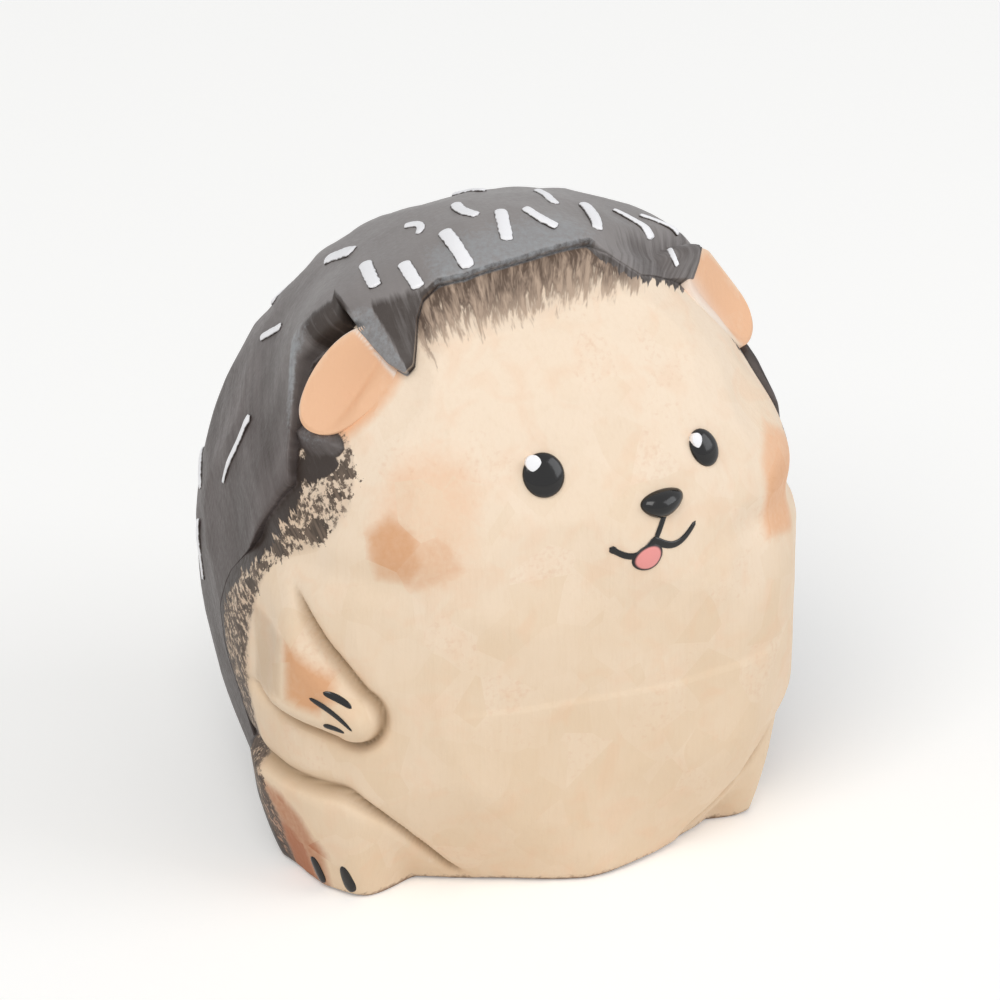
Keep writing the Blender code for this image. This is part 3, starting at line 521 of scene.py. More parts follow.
def coat_height(way):
    """How far the coat stands above the block: a rolled lip at the fringe, a bevel at the ears.

    The rise fades backwards from the edge, and a quarter ellipse rolls it down at the edge. The
    right tuft is roofed: it falls straight from its ridge to both sides, and the left one lies
    nearly flush. A bell fills the crown out behind the left ear. Where the coat laps over an ear,
    it stands a little above the ear's face.
    """
    form = bpy.context.scene.figurine_form
    turn, reach = around_axis(way)
    inside = (coat_reach(turn) - reach) * HALF_WIDTH
    degrees, reach_degrees = np.degrees(turn), np.degrees(reach)
    crown = ease((CROWN_END - np.abs(degrees)) / CROWN_FADE)
    beside = np.exp(-((np.abs(degrees) - WALL_TURN) / WALL_WIDTH) ** 2)
    wall = np.where(turn > 0, form.left_wall, form.right_wall) * beside
    behind = np.interp(degrees, *np.array(LIP_LINE, float).T) - reach_degrees
    behind = np.radians(behind) * HALF_WIDTH
    rise = (LIP_RISE * crown + wall) * ease(1.0 - behind / LIP_REACH)
    roll = form.lip_radius + form.ear_bevel * beside
    share = np.clip(inside / roll, 0.0, 1.0)
    rolled = form.lip_foot + (1.0 - form.lip_foot) * np.sqrt(1.0 - (1.0 - share) ** 2)
    held, distance, _ = beside_line(turn, reach, *TUFT_RIDGE)
    leaf = between(degrees, *TUFT_SPAN) * ease((reach_degrees - TUFT_START) / TUFT_SWEEP)
    roof = np.clip(1.0 - distance / TUFT_HALF_WIDTH, 0.0, 1.0) * (1.0 - TUFT_FALL * held)
    flush = between(degrees, *FLUSH_SPAN) * ease((reach_degrees - FLUSH_START) / FLUSH_SWEEP)
    rise = rise * rolled * (1.0 - 0.8 * leaf) * (1.0 - 0.85 * flush)
    rise = rise + (form.tuft_rise * roof + TUFT_FOOT) * leaf
    full_turn, full_reach, turn_spread, reach_spread = FULL_CROWN
    off = np.hypot((degrees - full_turn) / turn_spread, (reach_degrees - full_reach) / reach_spread)
    full = form.full_crown * np.exp(-off ** 2)
    flutes = np.sin(degrees * 0.47 + 1.3 * np.sin(reach_degrees * 0.09))
    flutes = form.flute_depth * flutes * np.sin(reach_degrees * 0.11 + 0.8)
    flutes = flutes * ease((reach_degrees - 12.0) / 25.0) * ease(inside / 0.003)
    height = COAT_FOOT + rise + full + flutes
    for side, front, soft in LAPS:
        across, along = ear_place(way, side)
        over = ease((1.0 + soft - np.hypot(across, along)) / soft)
        over = over * ease(side * (front - degrees) / 2.5 + 0.5)
        height = np.maximum(height, (ear_face(across, along, side) + LAP) * over)
    return height


def pole_to_pole(rows):
    """Rows of a closed grid as one list: its first and last rows are poles, and are kept once."""
    return np.concatenate([rows[0, :1], rows[1:-1].reshape(-1, *rows.shape[2:]), rows[-1, :1]])


def pole_faces(rows, columns, first):
    """Quads between the inner rows of such a grid, and a fan of triangles at each pole."""
    ring = np.arange(columns)
    after = (ring + 1) % columns
    start = first + 1 + np.arange(rows - 3)[:, None] * columns
    quads = np.stack([start + ring, start + after,
                      start + columns + after, start + columns + ring], -1)
    last = first + 1 + (rows - 3) * columns
    pole = first + 1 + (rows - 2) * columns
    bottom = np.stack([np.full(columns, first), first + 1 + after, first + 1 + ring], -1)
    top = np.stack([np.full(columns, pole), last + ring, last + after], -1)
    return quads.reshape(-1, 4), np.concatenate([bottom, top])


def volume(points, triangles):
    """Signed volume: a sixth of the sum of each triangle's triple product."""
    a, b, c = (points[triangles[:, corner]] for corner in range(3))
    return np.sum(np.cross(a, b) * c) / 6.0


def add_piece(name, grids, replaced, material, attributes):
    """One mesh of closed grids, faces turned outward by each grid's signed volume.

    attributes maps a name to one array per grid, each with a value per grid point.
    """
    points, faces, first = [], [], 0
    for rows in grids:
        kept = pole_to_pole(rows)
        quads, triangles = pole_faces(rows.shape[0], rows.shape[1], first)
        split = np.concatenate([quads[:, (0, 1, 2)], quads[:, (0, 2, 3)], triangles]) - first
        if volume(kept - kept.mean(0), split) < 0:
            quads, triangles = quads[:, ::-1], triangles[:, ::-1]
        faces += quads.tolist() + triangles.tolist()
        points.append(kept)
        first += len(kept)
    points = np.concatenate(points)
    mesh = bpy.data.meshes.new(name)
    mesh.from_pydata(points.tolist(), [], faces)
    mesh.shade_smooth()
    for key, values in attributes.items():
        values = np.concatenate([pole_to_pole(rows) for rows in values])
        kind, member = ("FLOAT_VECTOR", "vector") if values.ndim == 2 else ("FLOAT", "value")
        made = mesh.attributes.new(key, kind, "POINT")
        made.data.foreach_set(member, values.astype(float).ravel())
    mesh.materials.append(material)
    piece = bpy.data.objects.new(name, mesh)
    bpy.context.scene.collection.objects.link(piece)
    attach(piece, "root")
    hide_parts(*replaced)


def linear(hex_colour):
    """An sRGB hex colour as linear red, green and blue."""
    values = np.array([int(hex_colour[i:i + 2], 16) / 255 for i in (0, 2, 4)])
    return tuple(np.where(values <= 0.04045, values / 12.92, ((values + 0.055) / 1.055) ** 2.4))


def node(tree, kind, inputs, **settings):
    """Adds a node. Each input is filled with a value, or linked when it is given a socket."""
    made = tree.nodes.new(kind)
    for name, value in settings.items():
        setattr(made, name, value)
    for key, value in inputs.items():
        if isinstance(value, bpy.types.NodeSocket):
            tree.links.new(value, made.inputs[key])
        else:
            made.inputs[key].default_value = value
    return made.outputs


def new_material(name):
    """A material with only its output node, and its tree."""
    material = bpy.data.materials.new(name)
    material.use_nodes = True
    material.node_tree.nodes.clear()
    return material, material.node_tree


WASHED_BASSWOOD = "basswood_knife_carved_acrylic_wash"


def painted_basswood():
    """Knife-carved basswood under brushed acrylic, satin varnished.

    Thin cream wash lets the fine upright grain show. The dark coat is laid on with a stiff brush
    whose hairs streak away from the coat's axis, and it runs out in dry, broken strokes.
    """
    paint = bpy.context.scene.figurine_paint
    colour = {name: (*getattr(paint, name), 1) for name in FigurinePaint.__annotations__}
    material, tree = new_material(WASHED_BASSWOOD)
    place = node(tree, "ShaderNodeTexCoord", {})["Object"]
    mm = node(tree, "ShaderNodeVectorMath", {0: place, "Scale": 1000.0}, operation="SCALE")[0]
    height = node(tree, "ShaderNodeSeparateXYZ", {0: mm})[2]
    lay = node(tree, "ShaderNodeAttribute", {}, attribute_name="lay")["Vector"]
    mask = {name: node(tree, "ShaderNodeAttribute", {}, attribute_name=name)["Fac"] for name in (
        "coat", "daub", "fringe", "hollow", "peach", "tan", "russet", "rim", "grey_highlight", "umber_and_shade",
        "side", "band")}

    # Noise: what it follows, its waves per millimetre along that, detail, roughness, distortion
    noise = {}
    for name, follows, waves, detail, roughness, distortion in (
            # Basswood vessels are about 0.05 mm wide; drawn at 0.25 mm, as coarse as shows
            ("grain", mm, (3.6, 3.6, 0.28), 4.0, 0.65, 0.0),
            ("pores", mm, (2.6, 2.6, 2.6), 3.0, 0.5, 0.0),
            # The wash is uneven over 5 mm, and pools a little warmer over 2.5 mm
            ("mottle", mm, (0.20, 0.20, 0.20), 3.0, 0.5, 0.0),
            ("pool", mm, (0.42, 0.42, 0.42), 2.0, 0.5, 0.6),
            # The coat's paint: faint streaks 0.45 mm apart, as from a stiff brush, in 6 mm clouds
            ("hair", lay, (2.2, 2.2, 0.20), 3.0, 0.6, 0.0),
            ("cloud", mm, (0.16, 0.16, 0.16), 4.0, 0.55, 0.0),
            # The tips of the hairs leave lines 0.3 mm apart, and dashes 0.45 mm wide, 1.7 mm long
            ("fine", lay, (3.3, 3.3, 0.36), 2.5, 0.6, 0.0),
            ("dash", lay, (2.3, 2.3, 0.58), 3.0, 0.62, 0.35),
            # A nearly dry brush leaves specks of 0.3 mm, and lumps of 0.5 mm at the sides
            ("speck", mm, (2.8, 2.8, 2.8), 3.0, 0.7, 0.0),
            ("lump", mm, (1.9, 1.9, 1.9), 4.0, 0.7, 0.0)):
        scaled = node(tree, "ShaderNodeMapping", {"Vector": follows, "Scale": waves})[0]
        noise[name] = node(tree, "ShaderNodeTexNoise", {
            "Vector": scaled, "Scale": 1.0, "Detail": detail, "Roughness": roughness,
            "Distortion": distortion})[0]

    # Sums: a value times its weight, plus another value
    total = {}
    for name, value, weight, other in (
            ("tone", noise["cloud"], 2.0, noise["hair"]),
            ("browned_and_shaded", mask["umber_and_shade"], 0.775, noise["fine"]),
            ("highlight_scumble", mask["grey_highlight"], 0.75, noise["speck"]),
            ("dry", mask["fringe"], 0.62, noise["dash"]),
            ("thinned", mask["fringe"], -0.27, noise["dash"]),
            ("lumps", noise["fine"], 0.5, noise["lump"])):
        total[name] = node(tree, "ShaderNodeMath", {0: value, 1: weight, 2: other},
                           operation="MULTIPLY_ADD")[0]
    daubed = node(tree, "ShaderNodeMath", {0: total["lumps"], 1: 2.6, 2: mask["daub"]},
                  operation="MULTIPLY_ADD")[0]
    clipped = node(tree, "ShaderNodeMath", {0: height, 1: noise["pores"]}, operation="SUBTRACT")[0]

    # Ramps: a value, where it starts and ends, and the share of paint at both ends
    share = {}
    for name, value, start, end, first, last in (
            # Up the figure, in mm, painted light from above: the wash is painted paler higher up,
            # the coat's light streaks are fewer low down, and its crown is painted lighter and
            # cooler as a highlight
            ("tone_and_top_light", height, 14.0, 40.0, -0.48, 0.52),
            ("low", height, 12.0, 32.0, 0.15, 1.0),
            ("crown_highlight", height, 31.0, 46.0, 0.0, 0.75),
            ("below", height, 24.0, 15.0, 0.0, 1.0),
            # The base's edge is darker in a ragged band along its foot
            ("base_edge_darker", clipped, -0.42, -0.05, 0.8, 0.0),
            # Wash and grain, then brown wax and painted shade in the grooves
            ("pooled", noise["pool"], 0.50, 0.68, 0.0, 0.17),
            ("fibres", noise["grain"], 0.48, 0.78, 0.0, 0.12),
            ("waxed_and_shaded", mask["hollow"], 0.21, 0.94, 0.0, 0.88),
            # The coat: light streaks, umber dragged over it along with its painted shade, and cool
            # grey scumbled on its crests as painted highlight
            ("streaks", total["tone"], 1.15, 1.95, 0.0, 1.0),
            ("browned_and_shaded", total["browned_and_shaded"], 0.70, 1.225, 0.0, 0.86),
            ("highlight_scumble", total["highlight_scumble"], 0.68, 1.16, 0.0, 0.8),
            # Below the lip: a thin ground, and hairs that thin out away from it
            ("ground", mask["fringe"], 0.30, 0.95, 0.0, 0.45),
            ("thinned", total["thinned"], 0.18, 0.42, 0.0, 1.0),
            ("thin_daubs", noise["fine"], 0.42, 0.78, 0.0, 1.0),
            ("rough", noise["pores"], 0.2, 0.8, 0.50, 0.66)):
        share[name] = node(tree, "ShaderNodeMapRange", {
            0: value, 1: start, 2: end, 3: first, 4: last})[0]

    # The coat's edge is crisp at the lip and frayed down the sides
    jag = node(tree, "ShaderNodeMapRange", {
        0: noise["hair"], 1: 0.3, 2: 0.7, 3: -0.6, 4: 0.6}, clamp=False)[0]
    ragged = node(tree, "ShaderNodeMath", {0: jag, 1: mask["side"], 2: mask["coat"]},
                  operation="MULTIPLY_ADD")[0]
    for name, value, start, end, last in (
            ("covered", ragged, -0.10, 0.06, 1.0), ("within", mask["band"], 1.15, 0.85, 1.0),
            ("dry", total["dry"], 0.75, 0.94, 0.92), ("daubed", daubed, 1.86, 2.02, 1.0)):
        share[name] = node(tree, "ShaderNodeMapRange", {0: value, 1: start, 2: end, 4: last},
                           interpolation_type="SMOOTHSTEP")[0]

    # Knife flats about 3 mm across, each washed a little paler or darker than the next
    patch = node(tree, "ShaderNodeTexVoronoi", {
        "Vector": mm, "Scale": 0.34, "Randomness": 1.0})["Color"]
    patch = node(tree, "ShaderNodeSeparateXYZ", {0: patch})[0]
    # Random tone of the wash, plus painted light: paler higher up the figure
    tone_and_top_light = node(tree, "ShaderNodeMath", {0: noise["mottle"], 1: 0.9, 2: share["tone_and_top_light"]},
                operation="MULTIPLY_ADD")[0]
    tone_and_top_light = node(tree, "ShaderNodeMath", {0: patch, 1: 0.40, 2: tone_and_top_light}, operation="MULTIPLY_ADD",
                use_clamp=True)[0]
    # Thin glazes follow the flats: each one's share steps a little from one flat to the next
    stepped = node(tree, "ShaderNodeMapRange", {0: patch, 3: -0.14, 4: 0.14})[0]
    stepped = node(tree, "ShaderNodeMath", {0: noise["pores"], 1: 0.25, 2: stepped},
                   operation="MULTIPLY_ADD")[0]
    glazes = []
    for name, strength in (("peach", 0.95), ("tan", 0.9), ("russet", 0.95)):
        broken = node(tree, "ShaderNodeMath", {0: mask[name], 1: stepped}, operation="ADD")[0]
        laid = node(tree, "ShaderNodeMapRange", {0: broken, 1: 0.26, 2: 1.05, 4: strength})[0]
        glazes.append((laid, name))

    # The band down the sides: a thin brown wash under lumps and daubs, closer low down
    wash = node(tree, "ShaderNodeMath", {0: share["below"], 1: 0.30, 2: 0.30},
                operation="MULTIPLY_ADD")[0]
    inked = node(tree, "ShaderNodeMath", {0: share["within"], 1: 0.22, 2: total["lumps"]},
                 operation="MULTIPLY_ADD")[0]
    inked = node(tree, "ShaderNodeMath", {0: share["below"], 1: 0.07, 2: inked},
                 operation="MULTIPLY_ADD")[0]
    inked = node(tree, "ShaderNodeMapRange", {0: inked, 1: 0.93, 2: 1.03})[0]
    inked = node(tree, "ShaderNodeMath", {0: inked, 1: share["within"]}, operation="MULTIPLY")[0]
    inked = node(tree, "ShaderNodeMath", {0: inked, 1: share["daubed"]}, operation="MAXIMUM")[0]
    for name, value, factor in (
            ("washed", wash, share["within"]), ("inked", inked, 0.94), ("rim_highlight_cream", mask["rim"], 0.9),
            ("light", share["streaks"], share["low"]), ("combed", noise["hair"], share["covered"])):
        share[name] = node(tree, "ShaderNodeMath", {0: value, 1: factor}, operation="MULTIPLY")[0]

    # What each run of layers makes, its ground, and the share and colour of each, as laid on
    for made, ground, *layers in (
            ("strands", "dry_dark", (share["thinned"], "dry_light")),
            ("daubs", "umber_and_shade", (share["thin_daubs"], "daub_light")),
            ("coat", "coat_dark", (share["light"], "coat_light"), (share["crown_highlight"], "coat_highlight"),
             (share["browned_and_shaded"], "umber_and_shade"), (share["highlight_scumble"], "highlight_grey")),
            ("skin", "belly", (tone_and_top_light, "forehead"), (share["pooled"], "peach"),
             (share["fibres"], "bare_wood"), *glazes, (share["waxed_and_shaded"], "wax_and_shade"),
             (share["ground"], "dry_light"), (share["dry"], "strands"),
             (share["washed"], "dry_light"), (share["inked"], "daubs"),
             (share["rim_highlight_cream"], "rim_highlight_cream")),
            ("finish", "skin", (share["covered"], "coat"), (share["base_edge_darker"], "base_edge_brown"))):
        colour[made] = colour[ground]
        for laid, over in layers:
            colour[made] = node(tree, "ShaderNodeMix", {0: laid, 6: colour[made], 7: colour[over]},
                                data_type="RGBA")[2]

    relief = node(tree, "ShaderNodeMath", {0: noise["pores"], 1: noise["grain"]},
                  operation="ADD")[0]
    relief = node(tree, "ShaderNodeMath", {0: share["combed"], 1: 1.2, 2: relief},
                  operation="MULTIPLY_ADD")[0]
    bump = node(tree, "ShaderNodeBump", {"Strength": 0.5, "Distance": 0.00005, "Height": relief})[0]
    rough = node(tree, "ShaderNodeMath", {0: share["covered"], 1: -0.14, 2: share["rough"]},
                 operation="MULTIPLY_ADD")[0]
    shader = node(tree, "ShaderNodeBsdfPrincipled", {
        "Base Color": colour["finish"], "Roughness": rough, "IOR": 1.40, "Normal": bump})[0]
    node(tree, "ShaderNodeOutputMaterial", {"Surface": shader})
    return material


def enamel(name, colour, edge_colour, roughness, broken):
    """Gloss or satin enamel laid on with a small round brush, thinner and darker at its border.

    broken is the share of the border where the brush ran dry and the ground shows through.
    """
    material, tree = new_material(name)
    place = node(tree, "ShaderNodeTexCoord", {})["Object"]
    across = node(tree, "ShaderNodeAttribute", {}, attribute_name="across")["Fac"]
    # The brush's marks are about 0.4 mm apart
    wet = node(tree, "ShaderNodeTexNoise", {"Vector": place, "Scale": 2600.0, "Detail": 3.0})[0]
    frayed = node(tree, "ShaderNodeMath", {0: wet, 1: broken, 2: across},
                  operation="MULTIPLY_ADD")[0]
    border = node(tree, "ShaderNodeMapRange", {
        0: frayed, 1: 0.80 + broken / 2, 2: 0.98 + broken / 2}, interpolation_type="SMOOTHSTEP")[0]
    tint = node(tree, "ShaderNodeMix", {0: border, 6: (*colour, 1), 7: (*edge_colour, 1)},
                data_type="RGBA")[2]
    bump = node(tree, "ShaderNodeBump", {"Strength": 0.25, "Distance": 0.00003, "Height": wet})[0]
    shader = node(tree, "ShaderNodeBsdfPrincipled", {
        "Base Color": tint, "Roughness": roughness, "IOR": 1.5, "Normal": bump})[0]
    node(tree, "ShaderNodeOutputMaterial", {"Surface": shader})
    return material


# Brushed enamels: name, paint, paint of the border, roughness, and how broken the border is
BLACK_ENAMEL = ("enamel_black_gloss_brushed", "black", "black", 0.14, 0.0)
WHITE_ENAMEL = ("enamel_white_satin_brushed", "white", "umber_and_shade", 0.42, 0.35)
PINK_ENAMEL = ("enamel_pink_satin_brushed", "tongue", "black", 0.4, 0.0)


def wood_finish():
    """The figure's paint, made on first use."""
    return bpy.data.materials.get(WASHED_BASSWOOD) or painted_basswood()


def enamelled(name, colour, edge_colour, *settings):
    """An enamel, made on first use."""
    paint = bpy.context.scene.figurine_paint
    return bpy.data.materials.get(name) or enamel(
        name, getattr(paint, colour), getattr(paint, edge_colour), *settings)


ENAMELS = {"black_gloss": BLACK_ENAMEL, "white_paint": WHITE_ENAMEL, "tongue_pink": PINK_ENAMEL}


def painted_mark(node_name, slot, grid, across):
    """One enamelled mark, which stands for the node of that name."""
    add_piece(node_name + "_visual", [grid], [node_name], enamelled(*ENAMELS[slot]),
              {"across": [across]})


def soft_spot(degrees, height_mm, azimuth, height, half_width, half_height):
    """A soft oval: 1 in its middle and 0 past its half width in degrees and half height in mm."""
    x, y = degrees - azimuth, height_mm - height
    return ease(1.6 - 1.6 * np.hypot(x / half_width, y / half_height))


def facet(degrees, height_mm, *corners):
    """A flat brushed facet: the least distance inside the sides of a convex outline, softened.

    Corners are azimuth and height, going round clockwise; a degree of azimuth is 0.35 mm here.
    """
    x, y = degrees * 0.35, height_mm
    corners = np.array(corners) * (0.35, 1.0)
    inside = np.full(x.shape, 9.0)
    for (x0, y0), (x1, y1) in zip(corners, np.roll(corners, -1, 0)):
        across = (x - x0) * (y1 - y0) - (y - y0) * (x1 - x0)
        inside = np.minimum(inside, across / math.hypot(x1 - x0, y1 - y0))
    return ease(0.38 + inside / 1.4)


def strongest(degrees, height_mm, facets):
    """The greatest share of several facets, each times its strength."""
    return np.max([strength * facet(degrees, height_mm, *corners)
                   for strength, *corners in facets], 0)


# The fringe's least and full length in mm, and how much shorter it is where it frays
FRINGE_LEAST, FRINGE_LENGTH, FRAYED_LESS = 0.3, 3.6, 1.6
# Degrees of turn at which the sides and the band start, the band's width in degrees on the left
# and at least, and its value outside it
SIDE_START, SIDE_SWEEP, BAND_START, LEFT_BAND, LEAST_BAND, BAND_OFF = 46.0, 5.0, 40.0, 1.4, 0.5, 1.3
# Shares of cool grey painted highlight along the lip, down the wall at the ear, on the tuft and on
# the leaf's vein
LIP_HIGHLIGHT, WALL_HIGHLIGHT, TUFT_HIGHLIGHT, VEIN_HIGHLIGHT = 0.62, 0.8, 0.55, 0.3
# Shares of umber down the sides and on the left tuft
SIDE_UMBER, TUFT_UMBER = 0.75, 0.62


def paint_masks(way, hollow):
    """The layers of paint at each way, as named values between 0 and 1, or in millimetres.

    coat is the distance inside the dark paint's edge, and daub the same for the thick daubs
    outside it. fringe falls from 1 at the edge to 0 where the dry strokes end, and band runs from
    0 to 1 across the loose brown brushwork at the sides. The cool grey mask is painted highlight
    on the coat's crests. The umber mask is where the coat is browner, and also where umber paints
    shade over the ear, on the right tuft and under the lip. side is where its edge is loose. lay is
    a place on a cylinder round the coat's axis, sheared so that the hairs hang parallel.
    """
    turn, reach = around_axis(way)
    degrees, reach_degrees = np.degrees(turn), np.degrees(reach)
    shift = np.interp(degrees, *np.array(PAINT_SHIFT, float).T)
    radius = HALF_WIDTH / MM
    carved = (coat_reach(turn) - reach) * radius
    inside = carved + np.radians(shift) * radius
    for line in (LEAF, POINT, *BEHIND_EARS):
        inside = np.maximum(inside, blade(turn, reach, *line))
    daub = np.max([blade(turn, reach, *line) for line in DAUBS], 0)

    # The fringe below the lip, and the band down the sides
    crown = between(degrees, *FRINGE_SPAN)
    side = ease((np.abs(degrees) - SIDE_START) / SIDE_SWEEP)
    loose = np.maximum(side, between(degrees, *FRAYED_SPAN))
    length_mm = FRINGE_LEAST + FRINGE_LENGTH * crown - FRAYED_LESS * loose * crown
    fringe = np.sqrt(np.clip(1.0 + inside / length_mm, 0.0, 1.0)) * crown
    outer = np.interp(np.abs(degrees), *np.array(BAND, float).T)
    inner = reach_degrees + inside / (radius * math.radians(1.0))
    outer = np.where(degrees > 0, np.minimum(outer, inner + LEFT_BAND), outer)
    band = np.clip((reach_degrees - inner) / np.maximum(outer - inner, LEAST_BAND), 0.0, BAND_OFF)
    band = np.where((np.abs(degrees) > BAND_START) & (outer > inner), band, BAND_OFF)

    # Painted highlight in cool grey on the crests: along the lip, down the wall at the ear and on
    # the tuft's face that gets no painted shade
    offset = beside_line(turn, reach, *TUFT_RIDGE)[2]
    leaf = between(degrees, *TUFT_PAINT_SPAN) * ease((reach_degrees - 68.0) / 3.0)
    # The right tuft's face that gets painted shade in umber; the other face gets the cool grey
    # painted highlight
    shaded_face = ease(0.5 + offset / 0.12)
    grey_highlight = LIP_HIGHLIGHT * between(degrees, *SWEEP_SPAN) * ease((4.2 - carved) / 3.0)
    ear_wall = np.exp(-((degrees + 44.5) / 5.0) ** 2)
    ear_wall = ear_wall * ease((1.9 - carved) / 0.8) * ease(carved / 0.3)
    grey_highlight = np.max([grey_highlight, ear_wall * WALL_HIGHLIGHT, leaf * (1.0 - shaded_face) * TUFT_HIGHLIGHT], 0)
    grey_highlight = grey_highlight * (1.0 - leaf * shaded_face)
    held, distance, _ = beside_line(turn, reach, *LEAF[:4])
    vein = ease(1.1 - distance / 0.9) * ease(held * 3.0) * ease((1.0 - held) * 2.5)
    grey_highlight = np.maximum(grey_highlight, vein * VEIN_HIGHLIGHT)

    # Umber down the sides, on the left tuft and past the carved edge; and painted shade in umber on
    # the wall above the ear, on the right tuft's shaded face and in a dark line under the lip
    ragged = between(degrees, *RAGGED_SPAN)
    above_ear = between(degrees, *ABOVE_EAR_SPAN) * ease((1.6 - carved) / 0.7)
    leaf_face = ease(blade(turn, reach, *LEAF) / 0.5)
    umber_and_shade = np.max([
        above_ear * (1.0 - leaf), leaf * shaded_face, SIDE_UMBER * side * ease((2.0 - inside) / 2.0),
        ease(-carved / 0.2) * (1.0 - 0.2 * ragged) * (1.0 - 0.75 * leaf_face),
        crown * ease((0.26 - carved) / 0.12) * (1.0 - ragged),
        TUFT_UMBER * between(degrees, *LEFT_TUFT_SPAN) * ease((reach_degrees - 58.0) / 9.0)], 0)

    lean = 0.9 * np.clip(turn + 0.34, 0.0, 0.75) * np.clip(reach - math.radians(68.0), 0.0, 0.16)
    narrow = radius * np.minimum(1.0, np.sin(reach) / math.sin(math.radians(52.0)))
    lay = np.stack([narrow * np.cos(turn + lean), narrow * np.sin(turn + lean), radius * reach], -1)

    # Glazes on the cheeks, round the ears, and on the arms and feet, which mirror each other, and
    # painted shade on each arm's outer side
    azimuth, tall = np.degrees(azimuth_of(way)), hull_point(way)[..., 2] / MM
    peach = np.maximum(strongest(azimuth, tall, PEACH_FACETS),
                       soft_spot(azimuth, tall, -36.0, 29.4, 17.0, 6.6) * 0.45)
    for ear, room, soft in ((-1, 1.45, 0.6), (1, 1.25, 0.4)):
        across, along = ear_place(way, ear)
        glazed = ease((room - np.hypot(across + ear * 0.12, along + 0.05)) / soft)
        if ear > 0:
            glazed = glazed * ease((across + 0.90) / 0.45)
        peach = np.maximum(peach, glazed)
    tan = strongest(azimuth, tall, TAN_FACETS)
    for limb in (azimuth, 2.0 * LIMB_MIDDLE - azimuth):
        tan = np.maximum(tan, strongest(limb, tall, WRIST_FACETS))
        hollow = np.maximum(hollow, strongest(limb, tall, SHADED_ARM_FACETS))
    russet = strongest(FOOT_MIDDLE - np.abs(azimuth - FOOT_MIDDLE), tall, FOOT_FACETS)
    return {"coat": inside, "daub": daub, "fringe": fringe, "hollow": hollow, "peach": peach,
            "tan": tan, "russet": russet, "rim": np.zeros(turn.shape), "grey_highlight": grey_highlight,
            "umber_and_shade": umber_and_shade, "side": loose, "band": band, "lay": lay}


def surface_on(carrier):
    """The function that puts ways and heights on the body or on the coat."""
    def place(way, height):
        return raised(way, carrier(way) + height)
    return place


def brush_mark(line, half_widths, thickness, place, sides=16, sunk=0.00006):
    """A painted stroke: a flat lens of section carried along a line of ways.

    The section is a circle squashed to the stroke's half width and thickness, its lower half
    pressed to a fixed depth into the ground. Returns the grid, and the share across it, which
    is 0 on the stroke's crest and 1 at its border.
    """
    steps = len(line)
    forward = unit(np.gradient(line, axis=0))
    sideways = np.cross(line, forward)
    reach = hull_radius(line)
    phase = np.linspace(0.0, 2 * math.pi, sides, endpoint=False)
    offset = half_widths[:, None] * np.cos(phase)
    way = unit(line[:, None] * reach[:, None, None] + offset[..., None] * sideways[:, None])
    thick = thickness * np.sqrt(np.clip(half_widths / half_widths.max(), 0.0, 1.0))
    height = np.where(np.sin(phase) > 0, thick[:, None] * np.sin(phase), sunk * np.sin(phase))
    share = np.broadcast_to(np.abs(np.cos(phase)), (steps, sides)).copy()
    share[[0, -1]] = 1.0
    way[0], way[-1] = way[0].mean(0), way[-1].mean(0)
    height[0], height[-1] = 0.0, 0.0
    return place(unit(way), height), share


def blunt_ends(share, power):
    """A stroke's width: the root of 1 less a power of the share along it, from -1 to 1."""
    return np.sqrt(np.clip(1.0 - np.abs(share) ** power, 0.0004, 1.0))


def dome(centre_way, half_right, half_up, thickness, place, turn=0.0, taper=0.0, base=0.0,
         fullness=0.5, columns=56, rows=18):
    """A raised oval of paint: height follows (1 less share squared) to a power, on a flat foot."""
    share = np.sin(np.linspace(0.0, math.pi / 2, rows))[:, None]
    round_turn = np.linspace(0.0, 2 * math.pi, columns, endpoint=False)[None]
    x, y = share * np.cos(round_turn), share * np.sin(round_turn)
    wide = x * half_right * (1.0 + taper * y)
    way = across_hull(centre_way, wide, y * half_up, turn)
    top = base + thickness * np.clip(1.0 - share ** 2, 0.0, 1.0) ** fullness + 0.0 * x
    foot = np.concatenate([way[::-1][:1], way[::-1][1::4], way[:1]])
    low = np.full(foot.shape[:2], -0.00012)
    ways = np.concatenate([way, foot])
    shares = np.concatenate([share + 0.0 * x, np.ones(foot.shape[:2])])
    ways[-1] = way[0]
    return place(ways, np.concatenate([top, low])), shares


def setting(name, description, default, **kind):
    """An integer or a float setting, by its default, with its unit or subtype."""
    made = bpy.props.IntProperty if isinstance(default, int) else bpy.props.FloatProperty
    return made(name=name, description=description, default=default, **kind)


def length(name, description, default):
    """A length in metres."""
    return setting(name, description, default, unit="LENGTH")


